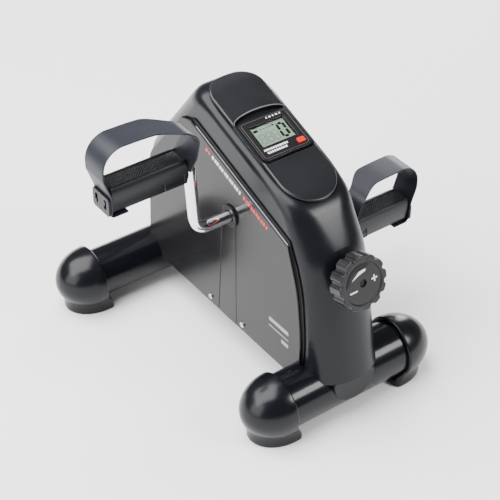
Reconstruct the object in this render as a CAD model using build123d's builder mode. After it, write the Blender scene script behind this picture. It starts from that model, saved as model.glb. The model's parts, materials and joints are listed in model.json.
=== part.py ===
from build123d import *
import os
from math import atan, cos, degrees, radians, sin

# Mini pedal exerciser: a slanted housing on two cross tubes, a one-piece bent crank with two
# strapped pedals, a felt band brake set by a knob, and a counter with a display in the top pad.
# X runs along the crank axle, -Y faces the user, +Z is up, and the floor is at Z = 0.

# ---- driving dimensions, in millimetres ----
SIDES = {"left": -1, "right": 1}

AXIS_HEIGHT = 35.0            # centre of both cross tubes above the floor
TUBE_WALL = 2.0
FRONT_Y = -145.5
FRONT_TUBE_R = 31.0
FRONT_RIM_X = 75.0            # open rim of the front end caps
REAR_Y = 154.5
REAR_TUBE_R = 28.0
REAR_RIM_X = 123.5
CAP_R = 35.8
CAP_DOME = 46.5               # length of a cap from rim to tip
CAP_SOCKET = 14.0             # how far a tube goes into its cap
CAP_HOLLOW_R = 18.0
CAP_TIP_WALL = 14.0           # rubber left at the tip of a cap
FOOT_REACH = 12.0             # foot of a cap, inward of the rim
FOOT_HALF_WIDTH = 21.0
FOOT_CORNER_R = 9.0
FOOT_GAP = 0.3

HOUSING_HALF = 41.0           # side wall of the housing, from the middle plane
HOUSING_NOSE_HALF = 30.0      # half width at the foot of the neck
HOUSING_BOTTOM = 40.5
HOUSING_EDGE_R = 13.0
NOSE_TAPER_Y = -130.5         # where the side walls start to narrow towards the neck
WALL = 2.6
TUBE_CLEAR = 0.6
REAR_FOOT = (170.5, 58.0)
REAR_SHOULDER = (162.5, 186.0)
REAR_TOP_Y = 63.5
DECK_Z = 288.2                # height of the slanted deck at Y = 0
DECK_SLOPE = 0.35
BROW_Y = -113.5
NECK_TOP = (-150.5, 201.0)
NECK_FOOT = (-181.1, 56.0)
OUTLINE_RADII = [50.0, 15.0, 45.0, 60.0]

PANEL_T = 3.2
PANEL_SEAM_FRONT = (-114.0, 206.5)
PANEL_SEAM_REAR = (62.5, 268.0)
PANEL_FRONT_CURVE = [(-129.0, 162.5), (-135.0, 126.5), (-138.0, 93.5), (-137.5, 66.0)]
PANEL_REAR_INSET = 16.0
PANEL_SHOULDER_DROP = 6.0     # rear corner of a panel, below the shoulder of the housing
PANEL_TOP_BACK = 15.0         # upper rear corner of a panel, behind and below the roof corner
PANEL_TOP_DROP = 47.0
TRIM_WIDTH = 6.0
TRIM_T = 2.2
TRIM_GAP = 0.6
TRIM_SHORT = 12.0             # trim shorter than the panel seam
SLOT_FRONT_Y = -22.5
SLOT_REAR_TOP_Y = 0.5
SLOT_REAR_FOOT_Y = 11.0
SCREW_Z = 50.0
SCREW_YS = (-35.0, 26.0)
SCREW_R = 1.8
SCREW_HEAD_R = 3.4
SCREW_HEAD_T = 1.4

CRANK_Y = -14.0
CRANK_Z = 188.0
CRANK_R = 80.0
CRANK_LEAN = 6.5              # degrees from upright at rest
ROD_R = 6.5
ARM_X = 89.0
AXLE_BEND_R = 15.0
SPINDLE_BEND_R = 8.0
SPINDLE_END_X = 184.0
ROD_START_X = 0.4
RUN_CLEAR = 0.05

DRUM_R = 46.5
DRUM_HALF = 11.0
DRUM_HUB_R = 14.0
DRUM_HUB_HALF = 17.5
DRUM_WEB_HALF = 3.0
DRUM_RIM_T = 6.0
WEB_HOLES = 6
WEB_HOLE_R = 7.0
WEB_HOLE_PITCH_R = 28.25
BAND_T = 3.0
BAND_MID_R = 48.5
BAND_HALF = 8.0
BAND_TAIL = 26.5
BAND_ANCHOR_ANGLE = 121.0     # end of the band round the drum, from the rear
ANCHOR_AHEAD = 4.0            # degrees from the end of the band to its anchor
ANCHOR_R = 3.4
ANCHOR_EYE_T = 2.0
ANCHOR_DISTANCE = 53.5
PLATE_X = 19.0
PLATE_T = 3.0
PLATE_FOOT_HALF = 50.0
PLATE_REAR = 56.0             # how far a plate reaches behind the axle, for the sensor
PLATE_HORN = [(-10.0, 56.0), (-42.0, 52.0), (-24.0, -20.0)]
PLATE_EYE_R = 25.0
PLATE_WINDOW_R = 16.0
PLATE_WINDOW_DROP = 75.0
BEARING_R = 14.0
BEARING_END_X = 35.0
BEARING_FLANGE_R = 18.0
BEARING_FLANGE_BORE_R = 13.0
AXLE_HOLE_R = 10.0
COVER_R = 12.8
COVER_T = 2.6
COVER_GAP = 0.5               # cover clear of the rod and of the axle hole
COVER_INSET = 0.5            # slot cover below the face of its panel

PEDAL_IN_X = 98.6
PEDAL_OUT_X = 188.0
PEDAL_DEPTH = 29.0
PEDAL_HEIGHT = 32.0
PEDAL_CORNER_R = 5.0
BUSH_R = 9.0
BUSH_LENGTH = 12.0
BUSH_IN = 1.0                 # inner bush, in from the pedal end
BUSH_OUT = 6.0                # outer bush, in from the pedal end
SPINDLE_CAP_R = 8.4
SPINDLE_CAP_T = 2.5
STRAP_T = 2.2
STRAP_GAP = 0.1
STRAP_HALF = 17.0
STRAP_TOP = 65.0
STRAP_OUT_X = 197.0
STRAP_FOOT = 9.0              # inner end of the strap, above the spindle
STRAP_TOP_RISE = 6.0          # outer corner of the strap, above its inner corner
STRAP_BULGE_UP = 34.0         # where the outer leg starts to turn in
STRAP_HIP_UP = 10.0
STRAP_TUCK = 16.0             # strap folded under the outer end of the pedal
STRAP_RADII = [20.0, 22.0, 14.0, 10.0, 1.2]
BUCKLE_T = 2.0
BUCKLE_WIDTH = 31.0
BUCKLE_HEIGHT = 22.0
BUCKLE_DROP = 4.0
BUCKLE_CORNER_R = 3.0
BUCKLE_PITCH = 16.0
BUCKLE_SLOT = (9.0, 4.0)

KNOB_Y = -156.0
KNOB_Z = 178.0
KNOB_TILT = 16.0
KNOB_R = 30.0
KNOB_BACK = 9.0
KNOB_T = 18.0
KNOB_LOBES = 12
KNOB_SCALLOP_R = 4.2
KNOB_SCALLOP_OUT = 2.0        # centre of a scallop, beyond the rim
KNOB_BACK_RECESS = 4.0
KNOB_RECESS = 12.0            # recess behind the knob, round its hub
KNOB_HUB_R = 8.0
SCREW_ROD_R = 3.0
SCREW_REACH = 78.0
SCREW_SHORT = 3.5             # front end of the screw, behind the face of the knob
COLLAR_NECK_R = 8.0
COLLAR_R = 12.0
COLLAR_SEAT_R = 12.5
COLLAR_SEAT = 0.6
COLLAR_REACH = 2.5            # collar into the back of the knob
KNOB_RECESS_R = 22.0
CARRIER_HALF = 7.0
CARRIER_T = 14.0
CARRIER_HEIGHT = 12.0
CARRIER_PAST = 5.0            # carrier, past the end of the screw
SPRING_LENGTH = 20.0
SPRING_R = 4.6
SPRING_BORE_R = 3.4
GUIDE_GAP = 0.4
GUIDE_T = 2.0
GUIDE_PAST = 4.0              # guide beyond each end of the carrier
GUIDE_RISE = 8.0              # top of the guide, above the screw axis
PICKUP_RADIUS = 43.5          # magnet and sensor, in line with the rim of the drum
MAGNET_R = 2.8
MAGNET_T = 3.0
SENSOR_T = 3.8
SENSOR_LENGTH = 14.0
SENSOR_HEIGHT = 8.0

PAD_T = 4.2
PAD_HALF = 33.0
PAD_TOP_Y = 58.5
PAD_LOW_Y = -112.5
PAD_CORNER_R = 26.4
CASE_WIDTH = 61.0
CASE_LENGTH = 53.0
CASE_DEPTH = 16.0
CASE_RISE = 1.5               # case face above the pad
CASE_Y = -29.5
LCD_WIDTH = 44.0
LCD_LENGTH = 28.0
LCD_SHIFT = 3.6
BUTTON_X = 20.5
BUTTON_SHIFT = -18.0
BUTTON_WIDTH = 9.0
BUTTON_LENGTH = 6.5
BUTTON_T = 5.6
BUTTON_GAP = 0.4
BUTTON_CORNER_R = 1.2
CASE_CORNER_R = 5.0
CASE_WALL = 2.0
CASE_FACE_T = 2.2
WINDOW_DEPTH = 3.0
LENS_T = 1.0
CELL_MARGIN = 2.0             # display cell, wider than its window
CELL_T = 2.0
BOARD_MARGIN = 4.0
BOARD_T = 1.6
BATTERY_R = 10.0
BATTERY_T = 3.2
BACK_T = 1.8
# undersides of the layers in the counter, below its face
LENS_DROP = 1.6
CELL_DROP = 4.2
BUTTON_DROP = 4.4
BOARD_DROP = 8.0
BATTERY_DROP = 11.2

RAIL_HALF = 18.0
RAIL_LOW = 40.0
RAIL_HIGH = 60.0
RAIL_WALL = 2.0
BOLT_R = 4.0
BOLT_HEAD_R = 6.5
BOLT_HEAD_T = 5.0
SADDLE_HALF = 26.0
SADDLE_T = 3.0
SADDLE_WIDTH = 32.0
NECK_SADDLE_HALF = 28.0
NECK_SADDLE_DROP = 10.0       # heel of the neck saddle, below the tube axis
SADDLE_SHIFT = 6.0            # middle of a saddle, inward of its tube

os.makedirs("parts", exist_ok=True)

# ---- values worked out from the driving dimensions ----
deck_angle = degrees(atan(DECK_SLOPE))
deck_up = (0, -sin(radians(deck_angle)), cos(radians(deck_angle)))
lean_y = CRANK_R * sin(radians(CRANK_LEAN))
lean_z = CRANK_R * cos(radians(CRANK_LEAN))
knob_out = (0, -cos(radians(KNOB_TILT)), sin(radians(KNOB_TILT)))
tubes = (
    ("front", FRONT_Y, FRONT_TUBE_R, FRONT_RIM_X),
    ("rear", REAR_Y, REAR_TUBE_R, REAR_RIM_X),
)


def deck_z(y):
    """Height of the slanted deck at a place along Y."""
    return DECK_Z + DECK_SLOPE * y


def across(side, near, far):
    """Plane across X at the lower end of the span from near to far on one side."""
    return Plane.YZ.offset(min(side * near, side * far))


def knob_plane(out):
    """Plane across the knob axis, a distance out from the neck."""
    centre = (0, KNOB_Y + out * knob_out[1], KNOB_Z + out * knob_out[2])
    return Plane(origin=centre, x_dir=(1, 0, 0), z_dir=knob_out)


def deck_plane(y, rise):
    """Plane on the slanted deck at a place along Y, raised off the deck."""
    centre = (0, y + rise * deck_up[1], deck_z(y) + rise * deck_up[2])
    return Plane(origin=centre, x_dir=(1, 0, 0), z_dir=deck_up)


def pedal_spindle(side):
    """Y and Z of a pedal's spindle: the left crank stands up and the right one hangs."""
    return CRANK_Y - side * lean_y, CRANK_Z - side * lean_z


# ---- cross tubes and end caps ----
for place, tube_y, tube_r, rim_x in tubes:
    half_length = rim_x + CAP_SOCKET
    with BuildPart() as tube:
        with BuildSketch(Plane.YZ.offset(-half_length)):
            with Locations((tube_y, AXIS_HEIGHT)):
                Circle(tube_r)
                Circle(tube_r - TUBE_WALL, mode=Mode.SUBTRACT)
        extrude(amount=2 * half_length)
        with BuildSketch(Plane.XY.offset(AXIS_HEIGHT)):
            with Locations((0, tube_y)):
                with GridLocations(2 * RAIL_HALF, 0, 2, 1):
                    Circle(BOLT_R)
        extrude(amount=tube_r + 1, mode=Mode.SUBTRACT)
    tube.part.label = f"{place}_tube"
    export_step(tube.part, f"parts/{place}_tube.step")

    for side_name, side in SIDES.items():
        rim = Plane(origin=(side * rim_x, tube_y, AXIS_HEIGHT), x_dir=(side, 0, 0), z_dir=(0, 1, 0))
        with BuildPart() as cap:
            with BuildSketch(rim):
                with BuildLine():
                    Line((0, 0), (0, CAP_R))
                    EllipticalCenterArc((0, 0), CAP_DOME, CAP_R, start_angle=0, arc_size=90)
                    Line((CAP_DOME, 0), (0, 0))
                make_face()
            revolve(axis=Axis((side * rim_x, tube_y, AXIS_HEIGHT), (1, 0, 0)))
            foot_out = rim_x + CAP_DOME / 2
            foot_in = rim_x - FOOT_REACH
            with BuildSketch(Plane.XY):
                with Locations((side * (foot_in + foot_out) / 2, tube_y)):
                    RectangleRounded(foot_out - foot_in, 2 * FOOT_HALF_WIDTH, FOOT_CORNER_R)
            extrude(amount=AXIS_HEIGHT / 2)
            with BuildSketch(across(side, foot_in - 1, rim_x + CAP_SOCKET)):
                with Locations((tube_y, AXIS_HEIGHT)):
                    Circle(tube_r)
            extrude(amount=CAP_SOCKET + FOOT_REACH + 1, mode=Mode.SUBTRACT)
            with BuildSketch(across(side, foot_in - 1, rim_x)):
                with Locations((tube_y, AXIS_HEIGHT)):
                    Circle(tube_r + FOOT_GAP)
            extrude(amount=FOOT_REACH + 1, mode=Mode.SUBTRACT)
            with BuildSketch(across(side, rim_x + CAP_SOCKET, rim_x + CAP_DOME - CAP_TIP_WALL)):
                with Locations((tube_y, AXIS_HEIGHT)):
                    Circle(CAP_HOLLOW_R)
            extrude(amount=CAP_DOME - CAP_TIP_WALL - CAP_SOCKET, mode=Mode.SUBTRACT)
            split(bisect_by=Plane.XY, keep=Keep.TOP)
        cap.part.label = f"{place}_{side_name}_cap"
        export_step(cap.part, f"parts/{place}_{side_name}_cap.step")

# ---- steel rail between the tubes, with its bolts ----
with BuildPart() as base_rail:
    with BuildSketch(Plane.XZ.offset(-REAR_Y)):
        with Locations((0, (RAIL_LOW + RAIL_HIGH) / 2)):
            Rectangle(2 * RAIL_HALF, RAIL_HIGH - RAIL_LOW)
            Rectangle(
                2 * (RAIL_HALF - RAIL_WALL), RAIL_HIGH - RAIL_LOW - 2 * RAIL_WALL, mode=Mode.SUBTRACT
            )
    extrude(amount=REAR_Y - FRONT_Y)
    # a saddle at each end lies on the top of its tube
    for place, tube_y, tube_r, rim_x in tubes:
        with BuildSketch(Plane.YZ.offset(-SADDLE_HALF)):
            with Locations((tube_y, AXIS_HEIGHT)):
                Circle(tube_r + SADDLE_T)
            inward = SADDLE_SHIFT if tube_y < 0 else -SADDLE_SHIFT
            with Locations((tube_y + inward, RAIL_HIGH + tube_r / 2)):
                Rectangle(SADDLE_WIDTH, tube_r + 4 * SADDLE_T, mode=Mode.INTERSECT)
        extrude(amount=2 * SADDLE_HALF)
    for place, tube_y, tube_r, rim_x in tubes:
        with BuildSketch(Plane.YZ.offset(-SADDLE_HALF - 1)):
            with Locations((tube_y, AXIS_HEIGHT)):
                Circle(tube_r)
        extrude(amount=2 * SADDLE_HALF + 2, mode=Mode.SUBTRACT)
        with BuildSketch(Plane.XY.offset(AXIS_HEIGHT)):
            with Locations((0, tube_y)):
                with GridLocations(2 * RAIL_HALF, 0, 2, 1):
                    Circle(BOLT_R)
        extrude(amount=tube_r + 2 * SADDLE_T, mode=Mode.SUBTRACT)
base_rail.part.label = "base_rail"
export_step(base_rail.part, "parts/base_rail.step")

for place, tube_y, tube_r, rim_x in tubes:
    head_seat = AXIS_HEIGHT + tube_r + SADDLE_T
    with BuildPart() as rail_bolts:
        with BuildSketch(Plane.XY.offset(head_seat)):
            with Locations((0, tube_y)):
                with GridLocations(2 * RAIL_HALF, 0, 2, 1):
                    RegularPolygon(BOLT_HEAD_R, 6)
        extrude(amount=BOLT_HEAD_T)
        with BuildSketch(Plane.XY.offset(AXIS_HEIGHT)):
            with Locations((0, tube_y)):
                with GridLocations(2 * RAIL_HALF, 0, 2, 1):
                    Circle(BOLT_R)
        extrude(amount=tube_r + SADDLE_T)
    rail_bolts.part.label = f"{place}_rail_bolts"
    export_step(rail_bolts.part, f"parts/{place}_rail_bolts.step")

# ---- two upright plates that carry the crank, with their bearings ----
for side_name, side in SIDES.items():
    with BuildPart() as plate:
        with BuildSketch(across(side, PLATE_X, PLATE_X + PLATE_T)):
            with BuildLine():
                Polyline(
                    (CRANK_Y - PLATE_FOOT_HALF, RAIL_HIGH),
                    (CRANK_Y + PLATE_FOOT_HALF, RAIL_HIGH),
                    (CRANK_Y + PLATE_REAR, CRANK_Z),
                    *[(CRANK_Y + back, CRANK_Z + up) for back, up in PLATE_HORN],
                    close=True,
                )
            make_face()
            with Locations((CRANK_Y, CRANK_Z)):
                Circle(PLATE_EYE_R)
                Circle(BEARING_R, mode=Mode.SUBTRACT)
            with Locations((CRANK_Y, CRANK_Z - PLATE_WINDOW_DROP)):
                Circle(PLATE_WINDOW_R, mode=Mode.SUBTRACT)
        extrude(amount=PLATE_T)
    plate.part.label = f"{side_name}_plate"
    export_step(plate.part, f"parts/{side_name}_plate.step")

    with BuildPart() as bearing:
        with BuildSketch(across(side, PLATE_X, BEARING_END_X)):
            with Locations((CRANK_Y, CRANK_Z)):
                Circle(BEARING_R)
                Circle(ROD_R + RUN_CLEAR, mode=Mode.SUBTRACT)
        extrude(amount=BEARING_END_X - PLATE_X)
        with BuildSketch(across(side, PLATE_X + PLATE_T, PLATE_X + 2 * PLATE_T)):
            with Locations((CRANK_Y, CRANK_Z)):
                Circle(BEARING_FLANGE_R)
                Circle(BEARING_FLANGE_BORE_R, mode=Mode.SUBTRACT)
        extrude(amount=PLATE_T)
    bearing.part.label = f"{side_name}_bearing"
    export_step(bearing.part, f"parts/{side_name}_bearing.step")

# ---- housing: one closed outline, hollowed and split into two shells ----
outline_points = [
    REAR_FOOT,
    REAR_SHOULDER,
    (REAR_TOP_Y, deck_z(REAR_TOP_Y)),
    (BROW_Y, deck_z(BROW_Y)),
    NECK_TOP,
    NECK_FOOT,
]


def housing_block(inset):
    """Solid of the housing's outer form, drawn in by inset."""
    with BuildPart() as block:
        with BuildSketch(Plane.YZ.offset(-HOUSING_HALF + inset)):
            with BuildLine():
                FilletPolyline(*outline_points, radius=OUTLINE_RADII)
                Polyline(
                    NECK_FOOT,
                    (NECK_FOOT[0], HOUSING_BOTTOM),
                    (REAR_FOOT[0], HOUSING_BOTTOM),
                    REAR_FOOT,
                )
            make_face()
            if inset:
                offset(amount=-inset)
        extrude(amount=2 * (HOUSING_HALF - inset))
        with BuildSketch(Plane.XY):
            with BuildLine():
                Polyline(
                    (-HOUSING_HALF + inset, REAR_FOOT[0] + 1),
                    (-HOUSING_HALF + inset, NOSE_TAPER_Y),
                    (-HOUSING_NOSE_HALF + inset, NECK_FOOT[0] - 1),
                    (HOUSING_NOSE_HALF - inset, NECK_FOOT[0] - 1),
                    (HOUSING_HALF - inset, NOSE_TAPER_Y),
                    (HOUSING_HALF - inset, REAR_FOOT[0] + 1),
                    close=True,
                )
            make_face()
        extrude(amount=DECK_Z * 1.5, mode=Mode.INTERSECT)
        long_edges = block.edges().filter_by(
            lambda edge: abs(edge.center().X) > HOUSING_NOSE_HALF / 2 and edge.center().Z > HOUSING_BOTTOM + 6
        )
        round_edges = long_edges.filter_by(
            lambda edge: abs(edge.tangent_at(0.5).X) < 0.5 and edge.length > 1.0
        )
        fillet(round_edges, radius=HOUSING_EDGE_R - inset)
    return block.part


with BuildPart() as housing:
    add(housing_block(0.0))
    add(housing_block(WALL), mode=Mode.SUBTRACT)
    # open underside, between the two tubes
    with BuildSketch(Plane.XY.offset(HOUSING_BOTTOM - 1)):
        with Locations((0, (FRONT_Y + REAR_Y) / 2)):
            Rectangle(2 * (HOUSING_HALF - WALL), REAR_Y - FRONT_Y)
    extrude(amount=2 * WALL + 1, mode=Mode.SUBTRACT)
    # seats over the two tubes
    for place, tube_y, tube_r, rim_x in tubes:
        with BuildSketch(Plane.YZ.offset(-HOUSING_HALF - 1)):
            with Locations((tube_y, AXIS_HEIGHT)):
                Circle(tube_r + TUBE_CLEAR)
        extrude(amount=2 * HOUSING_HALF + 2, mode=Mode.SUBTRACT)
    for foot_y, foot_z, outward in ((NECK_FOOT[0], NECK_FOOT[1], -1), (REAR_FOOT[0], REAR_FOOT[1], 1)):
        with BuildSketch(Plane.YZ.offset(-HOUSING_HALF - 1)):
            with Locations((foot_y, HOUSING_BOTTOM)):
                Rectangle(60, 2 * (foot_z - HOUSING_BOTTOM))
        extrude(amount=2 * HOUSING_HALF + 2, mode=Mode.SUBTRACT)
    # axle holes with the assembly slots below them
    with BuildSketch(Plane.YZ.offset(-HOUSING_HALF - 1)):
        with Locations((CRANK_Y, CRANK_Z)):
            Circle(AXLE_HOLE_R)
        with BuildLine():
            Polyline(
                (SLOT_FRONT_Y, CRANK_Z),
                (SLOT_REAR_TOP_Y, CRANK_Z),
                (SLOT_REAR_FOOT_Y, HOUSING_BOTTOM),
                (SLOT_FRONT_Y, HOUSING_BOTTOM),
                close=True,
            )
        make_face()
    extrude(amount=2 * HOUSING_HALF + 2, mode=Mode.SUBTRACT)
    # pocket for the counter in the deck, and the hole for the brake screw
    with BuildSketch(deck_plane(CASE_Y, -CASE_DEPTH)):
        RectangleRounded(CASE_WIDTH, CASE_LENGTH, CASE_CORNER_R)
    extrude(amount=2 * CASE_DEPTH, mode=Mode.SUBTRACT)
    with BuildSketch(knob_plane(-3 * WALL)):
        Circle(COLLAR_NECK_R)
    extrude(amount=6 * WALL, mode=Mode.SUBTRACT)
    with BuildSketch(knob_plane(-COLLAR_SEAT)):
        Circle(COLLAR_SEAT_R)
    extrude(amount=KNOB_BACK, mode=Mode.SUBTRACT)

for side_name, side in SIDES.items():
    with BuildPart() as shell:
        add(housing.part)
        split(bisect_by=Plane.YZ, keep=Keep.TOP if side > 0 else Keep.BOTTOM)
    shell.part.label = f"{side_name}_shell"
    export_step(shell.part, f"parts/{side_name}_shell.step")

# ---- glossy side panels, slot covers, trim strips and their screws ----
for side_name, side in SIDES.items():
    with BuildPart() as panel:
        with BuildSketch(across(side, HOUSING_HALF, HOUSING_HALF + PANEL_T)):
            with BuildLine():
                Polyline(
                    (REAR_FOOT[0] - PANEL_REAR_INSET, HOUSING_BOTTOM),
                    (REAR_SHOULDER[0] - PANEL_REAR_INSET, REAR_SHOULDER[1] - PANEL_SHOULDER_DROP),
                    (REAR_TOP_Y + PANEL_TOP_BACK, deck_z(REAR_TOP_Y) - PANEL_TOP_DROP),
                    PANEL_SEAM_REAR,
                    PANEL_SEAM_FRONT,
                )
                Spline(PANEL_SEAM_FRONT, *PANEL_FRONT_CURVE, (PANEL_FRONT_CURVE[-1][0] + 1, HOUSING_BOTTOM))
                Line(
                    (PANEL_FRONT_CURVE[-1][0] + 1, HOUSING_BOTTOM),
                    (REAR_FOOT[0] - PANEL_REAR_INSET, HOUSING_BOTTOM),
                )
            make_face()
            for place, tube_y, tube_r, rim_x in tubes:
                with Locations((tube_y, AXIS_HEIGHT)):
                    Circle(tube_r + TUBE_CLEAR, mode=Mode.SUBTRACT)
            with BuildLine():
                Polyline(
                    (SLOT_FRONT_Y, CRANK_Z),
                    (SLOT_REAR_TOP_Y, CRANK_Z),
                    (SLOT_REAR_FOOT_Y, HOUSING_BOTTOM),
                    (SLOT_FRONT_Y, HOUSING_BOTTOM),
                    close=True,
                )
            make_face(mode=Mode.SUBTRACT)
            with Locations((CRANK_Y, CRANK_Z)):
                Circle(AXLE_HOLE_R, mode=Mode.SUBTRACT)
            with Locations(*[(y, SCREW_Z) for y in SCREW_YS]):
                Circle(SCREW_R, mode=Mode.SUBTRACT)
        extrude(amount=PANEL_T)
    panel.part.label = f"{side_name}_panel"
    export_step(panel.part, f"parts/{side_name}_panel.step")

    with BuildPart() as slot_cover:
        with BuildSketch(across(side, HOUSING_HALF - WALL, HOUSING_HALF + PANEL_T - COVER_INSET)):
            with BuildLine():
                Polyline(
                    (SLOT_FRONT_Y, CRANK_Z),
                    (SLOT_REAR_TOP_Y, CRANK_Z),
                    (SLOT_REAR_FOOT_Y, HOUSING_BOTTOM),
                    (SLOT_FRONT_Y, HOUSING_BOTTOM),
                    close=True,
                )
            make_face()
            with Locations((CRANK_Y, CRANK_Z)):
                Circle(AXLE_HOLE_R, mode=Mode.SUBTRACT)
        extrude(amount=WALL + PANEL_T - COVER_INSET)
    slot_cover.part.label = f"{side_name}_slot_cover"
    export_step(slot_cover.part, f"parts/{side_name}_slot_cover.step")

    seam_y = (PANEL_SEAM_FRONT[0] + PANEL_SEAM_REAR[0]) / 2
    seam_z = (PANEL_SEAM_FRONT[1] + PANEL_SEAM_REAR[1]) / 2
    seam_run = PANEL_SEAM_REAR[0] - PANEL_SEAM_FRONT[0]
    seam_rise = PANEL_SEAM_REAR[1] - PANEL_SEAM_FRONT[1]
    seam_angle = degrees(atan(seam_rise / seam_run))
    seam_length = (seam_run**2 + seam_rise**2) ** 0.5
    with BuildPart() as trim:
        with BuildSketch(across(side, HOUSING_HALF, HOUSING_HALF + TRIM_T)):
            with Locations((seam_y, seam_z)):
                with Locations(Location((0, 0, 0), (0, 0, seam_angle))):
                    with Locations((0, TRIM_WIDTH / 2 + TRIM_GAP)):
                        SlotOverall(seam_length - TRIM_SHORT, TRIM_WIDTH)
        extrude(amount=TRIM_T)
    trim.part.label = f"{side_name}_trim"
    export_step(trim.part, f"parts/{side_name}_trim.step")

    with BuildPart() as axle_cover:
        with BuildSketch(across(side, BEARING_END_X, HOUSING_HALF + PANEL_T)):
            with Locations((CRANK_Y, CRANK_Z)):
                Circle(AXLE_HOLE_R - COVER_GAP)
                Circle(ROD_R + COVER_GAP, mode=Mode.SUBTRACT)
        extrude(amount=HOUSING_HALF + PANEL_T - BEARING_END_X)
        cover_start = HOUSING_HALF + PANEL_T
        with BuildSketch(across(side, cover_start, cover_start + COVER_T)):
            with Locations((CRANK_Y, CRANK_Z)):
                Circle(COVER_R)
                Circle(ROD_R + COVER_GAP, mode=Mode.SUBTRACT)
        extrude(amount=COVER_T)
    axle_cover.part.label = f"{side_name}_axle_cover"
    export_step(axle_cover.part, f"parts/{side_name}_axle_cover.step")

    with BuildPart() as panel_screws:
        head_start = HOUSING_HALF + PANEL_T
        with BuildSketch(across(side, head_start, head_start + SCREW_HEAD_T)):
            with Locations(*[(y, SCREW_Z) for y in SCREW_YS]):
                Circle(SCREW_HEAD_R)
        extrude(amount=SCREW_HEAD_T)
        with BuildSketch(across(side, HOUSING_HALF, head_start)):
            with Locations(*[(y, SCREW_Z) for y in SCREW_YS]):
                Circle(SCREW_R)
        extrude(amount=PANEL_T)
    panel_screws.part.label = f"{side_name}_panel_screws"
    export_step(panel_screws.part, f"parts/{side_name}_panel_screws.step")

# ---- saddle where the neck meets the front tube ----
with BuildPart() as neck_saddle:
    with BuildSketch(Plane.YZ.offset(-NECK_SADDLE_HALF)):
        with BuildLine():
            Polyline(
                (FRONT_Y, AXIS_HEIGHT),
                (NECK_FOOT[0] + 1, NECK_FOOT[1]),
                (NECK_FOOT[0] + 1, AXIS_HEIGHT + NECK_SADDLE_DROP),
                (FRONT_Y - FRONT_TUBE_R - 2, AXIS_HEIGHT - NECK_SADDLE_DROP),
                close=True,
            )
        make_face()
        with Locations((FRONT_Y, AXIS_HEIGHT)):
            Circle(FRONT_TUBE_R, mode=Mode.SUBTRACT)
    extrude(amount=2 * NECK_SADDLE_HALF)
neck_saddle.part.label = "neck_saddle"
export_step(neck_saddle.part, "parts/neck_saddle.step")

# ---- top pad, shaped to the deck and over the brow ----
with BuildPart() as top_pad:
    with BuildSketch(Plane.YZ.offset(-PAD_HALF)):
        with BuildLine():
            FilletPolyline(*outline_points, radius=OUTLINE_RADII)
            Polyline(NECK_FOOT, (REAR_FOOT[0], NECK_FOOT[1]), REAR_FOOT)
        make_face()
        offset(amount=PAD_T)
        with BuildLine():
            FilletPolyline(*outline_points, radius=OUTLINE_RADII)
            Polyline(NECK_FOOT, (REAR_FOOT[0], NECK_FOOT[1]), REAR_FOOT)
        make_face(mode=Mode.SUBTRACT)
    extrude(amount=2 * PAD_HALF)
    with BuildSketch(Plane.XY.offset(CRANK_Z)):
        with Locations((0, (PAD_TOP_Y + PAD_LOW_Y) / 2)):
            RectangleRounded(2 * PAD_HALF, PAD_TOP_Y - PAD_LOW_Y, PAD_CORNER_R)
    extrude(amount=DECK_Z, mode=Mode.INTERSECT)
    with BuildSketch(deck_plane(CASE_Y, -CASE_DEPTH)):
        RectangleRounded(CASE_WIDTH, CASE_LENGTH, CASE_CORNER_R)
    extrude(amount=2 * CASE_DEPTH, mode=Mode.SUBTRACT)
top_pad.part.label = "top_pad"
export_step(top_pad.part, "parts/top_pad.step")

# ---- counter: case, display, lens, board, cell, back and button ----
case_top = PAD_T + CASE_RISE
with BuildPart() as counter_case:
    with BuildSketch(deck_plane(CASE_Y, case_top - CASE_DEPTH)):
        RectangleRounded(CASE_WIDTH, CASE_LENGTH, CASE_CORNER_R)
    extrude(amount=CASE_DEPTH)
    with BuildSketch(deck_plane(CASE_Y, case_top - CASE_DEPTH)):
        RectangleRounded(
            CASE_WIDTH - 2 * CASE_WALL, CASE_LENGTH - 2 * CASE_WALL, CASE_CORNER_R - CASE_WALL
        )
    extrude(amount=CASE_DEPTH - CASE_FACE_T, mode=Mode.SUBTRACT)
    with BuildSketch(deck_plane(CASE_Y, case_top - WINDOW_DEPTH)):
        with Locations((0, LCD_SHIFT)):
            Rectangle(LCD_WIDTH, LCD_LENGTH)
        with Locations((BUTTON_X, BUTTON_SHIFT)):
            Rectangle(BUTTON_WIDTH + 2 * BUTTON_GAP, BUTTON_LENGTH + 2 * BUTTON_GAP)
    extrude(amount=WINDOW_DEPTH + 1, mode=Mode.SUBTRACT)
counter_case.part.label = "counter_case"
export_step(counter_case.part, "parts/counter_case.step")

with BuildPart() as display_lens:
    with BuildSketch(deck_plane(CASE_Y, case_top - LENS_DROP)):
        with Locations((0, LCD_SHIFT)):
            Rectangle(LCD_WIDTH, LCD_LENGTH)
    extrude(amount=LENS_T)
display_lens.part.label = "display_lens"
export_step(display_lens.part, "parts/display_lens.step")

with BuildPart() as display_cell:
    with BuildSketch(deck_plane(CASE_Y, case_top - CELL_DROP)):
        with Locations((0, LCD_SHIFT)):
            Rectangle(LCD_WIDTH + 2 * CELL_MARGIN, LCD_LENGTH + 2 * CELL_MARGIN)
    extrude(amount=CELL_T)
display_cell.part.label = "display_cell"
export_step(display_cell.part, "parts/display_cell.step")

with BuildPart() as counter_board:
    with BuildSketch(deck_plane(CASE_Y, case_top - BOARD_DROP)):
        Rectangle(CASE_WIDTH - 2 * BOARD_MARGIN, CASE_LENGTH - 2 * BOARD_MARGIN)
    extrude(amount=BOARD_T)
counter_board.part.label = "counter_board"
export_step(counter_board.part, "parts/counter_board.step")

with BuildPart() as button_cell:
    with BuildSketch(deck_plane(CASE_Y, case_top - BATTERY_DROP)):
        Circle(BATTERY_R)
    extrude(amount=BATTERY_T)
button_cell.part.label = "button_cell"
export_step(button_cell.part, "parts/button_cell.step")

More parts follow.
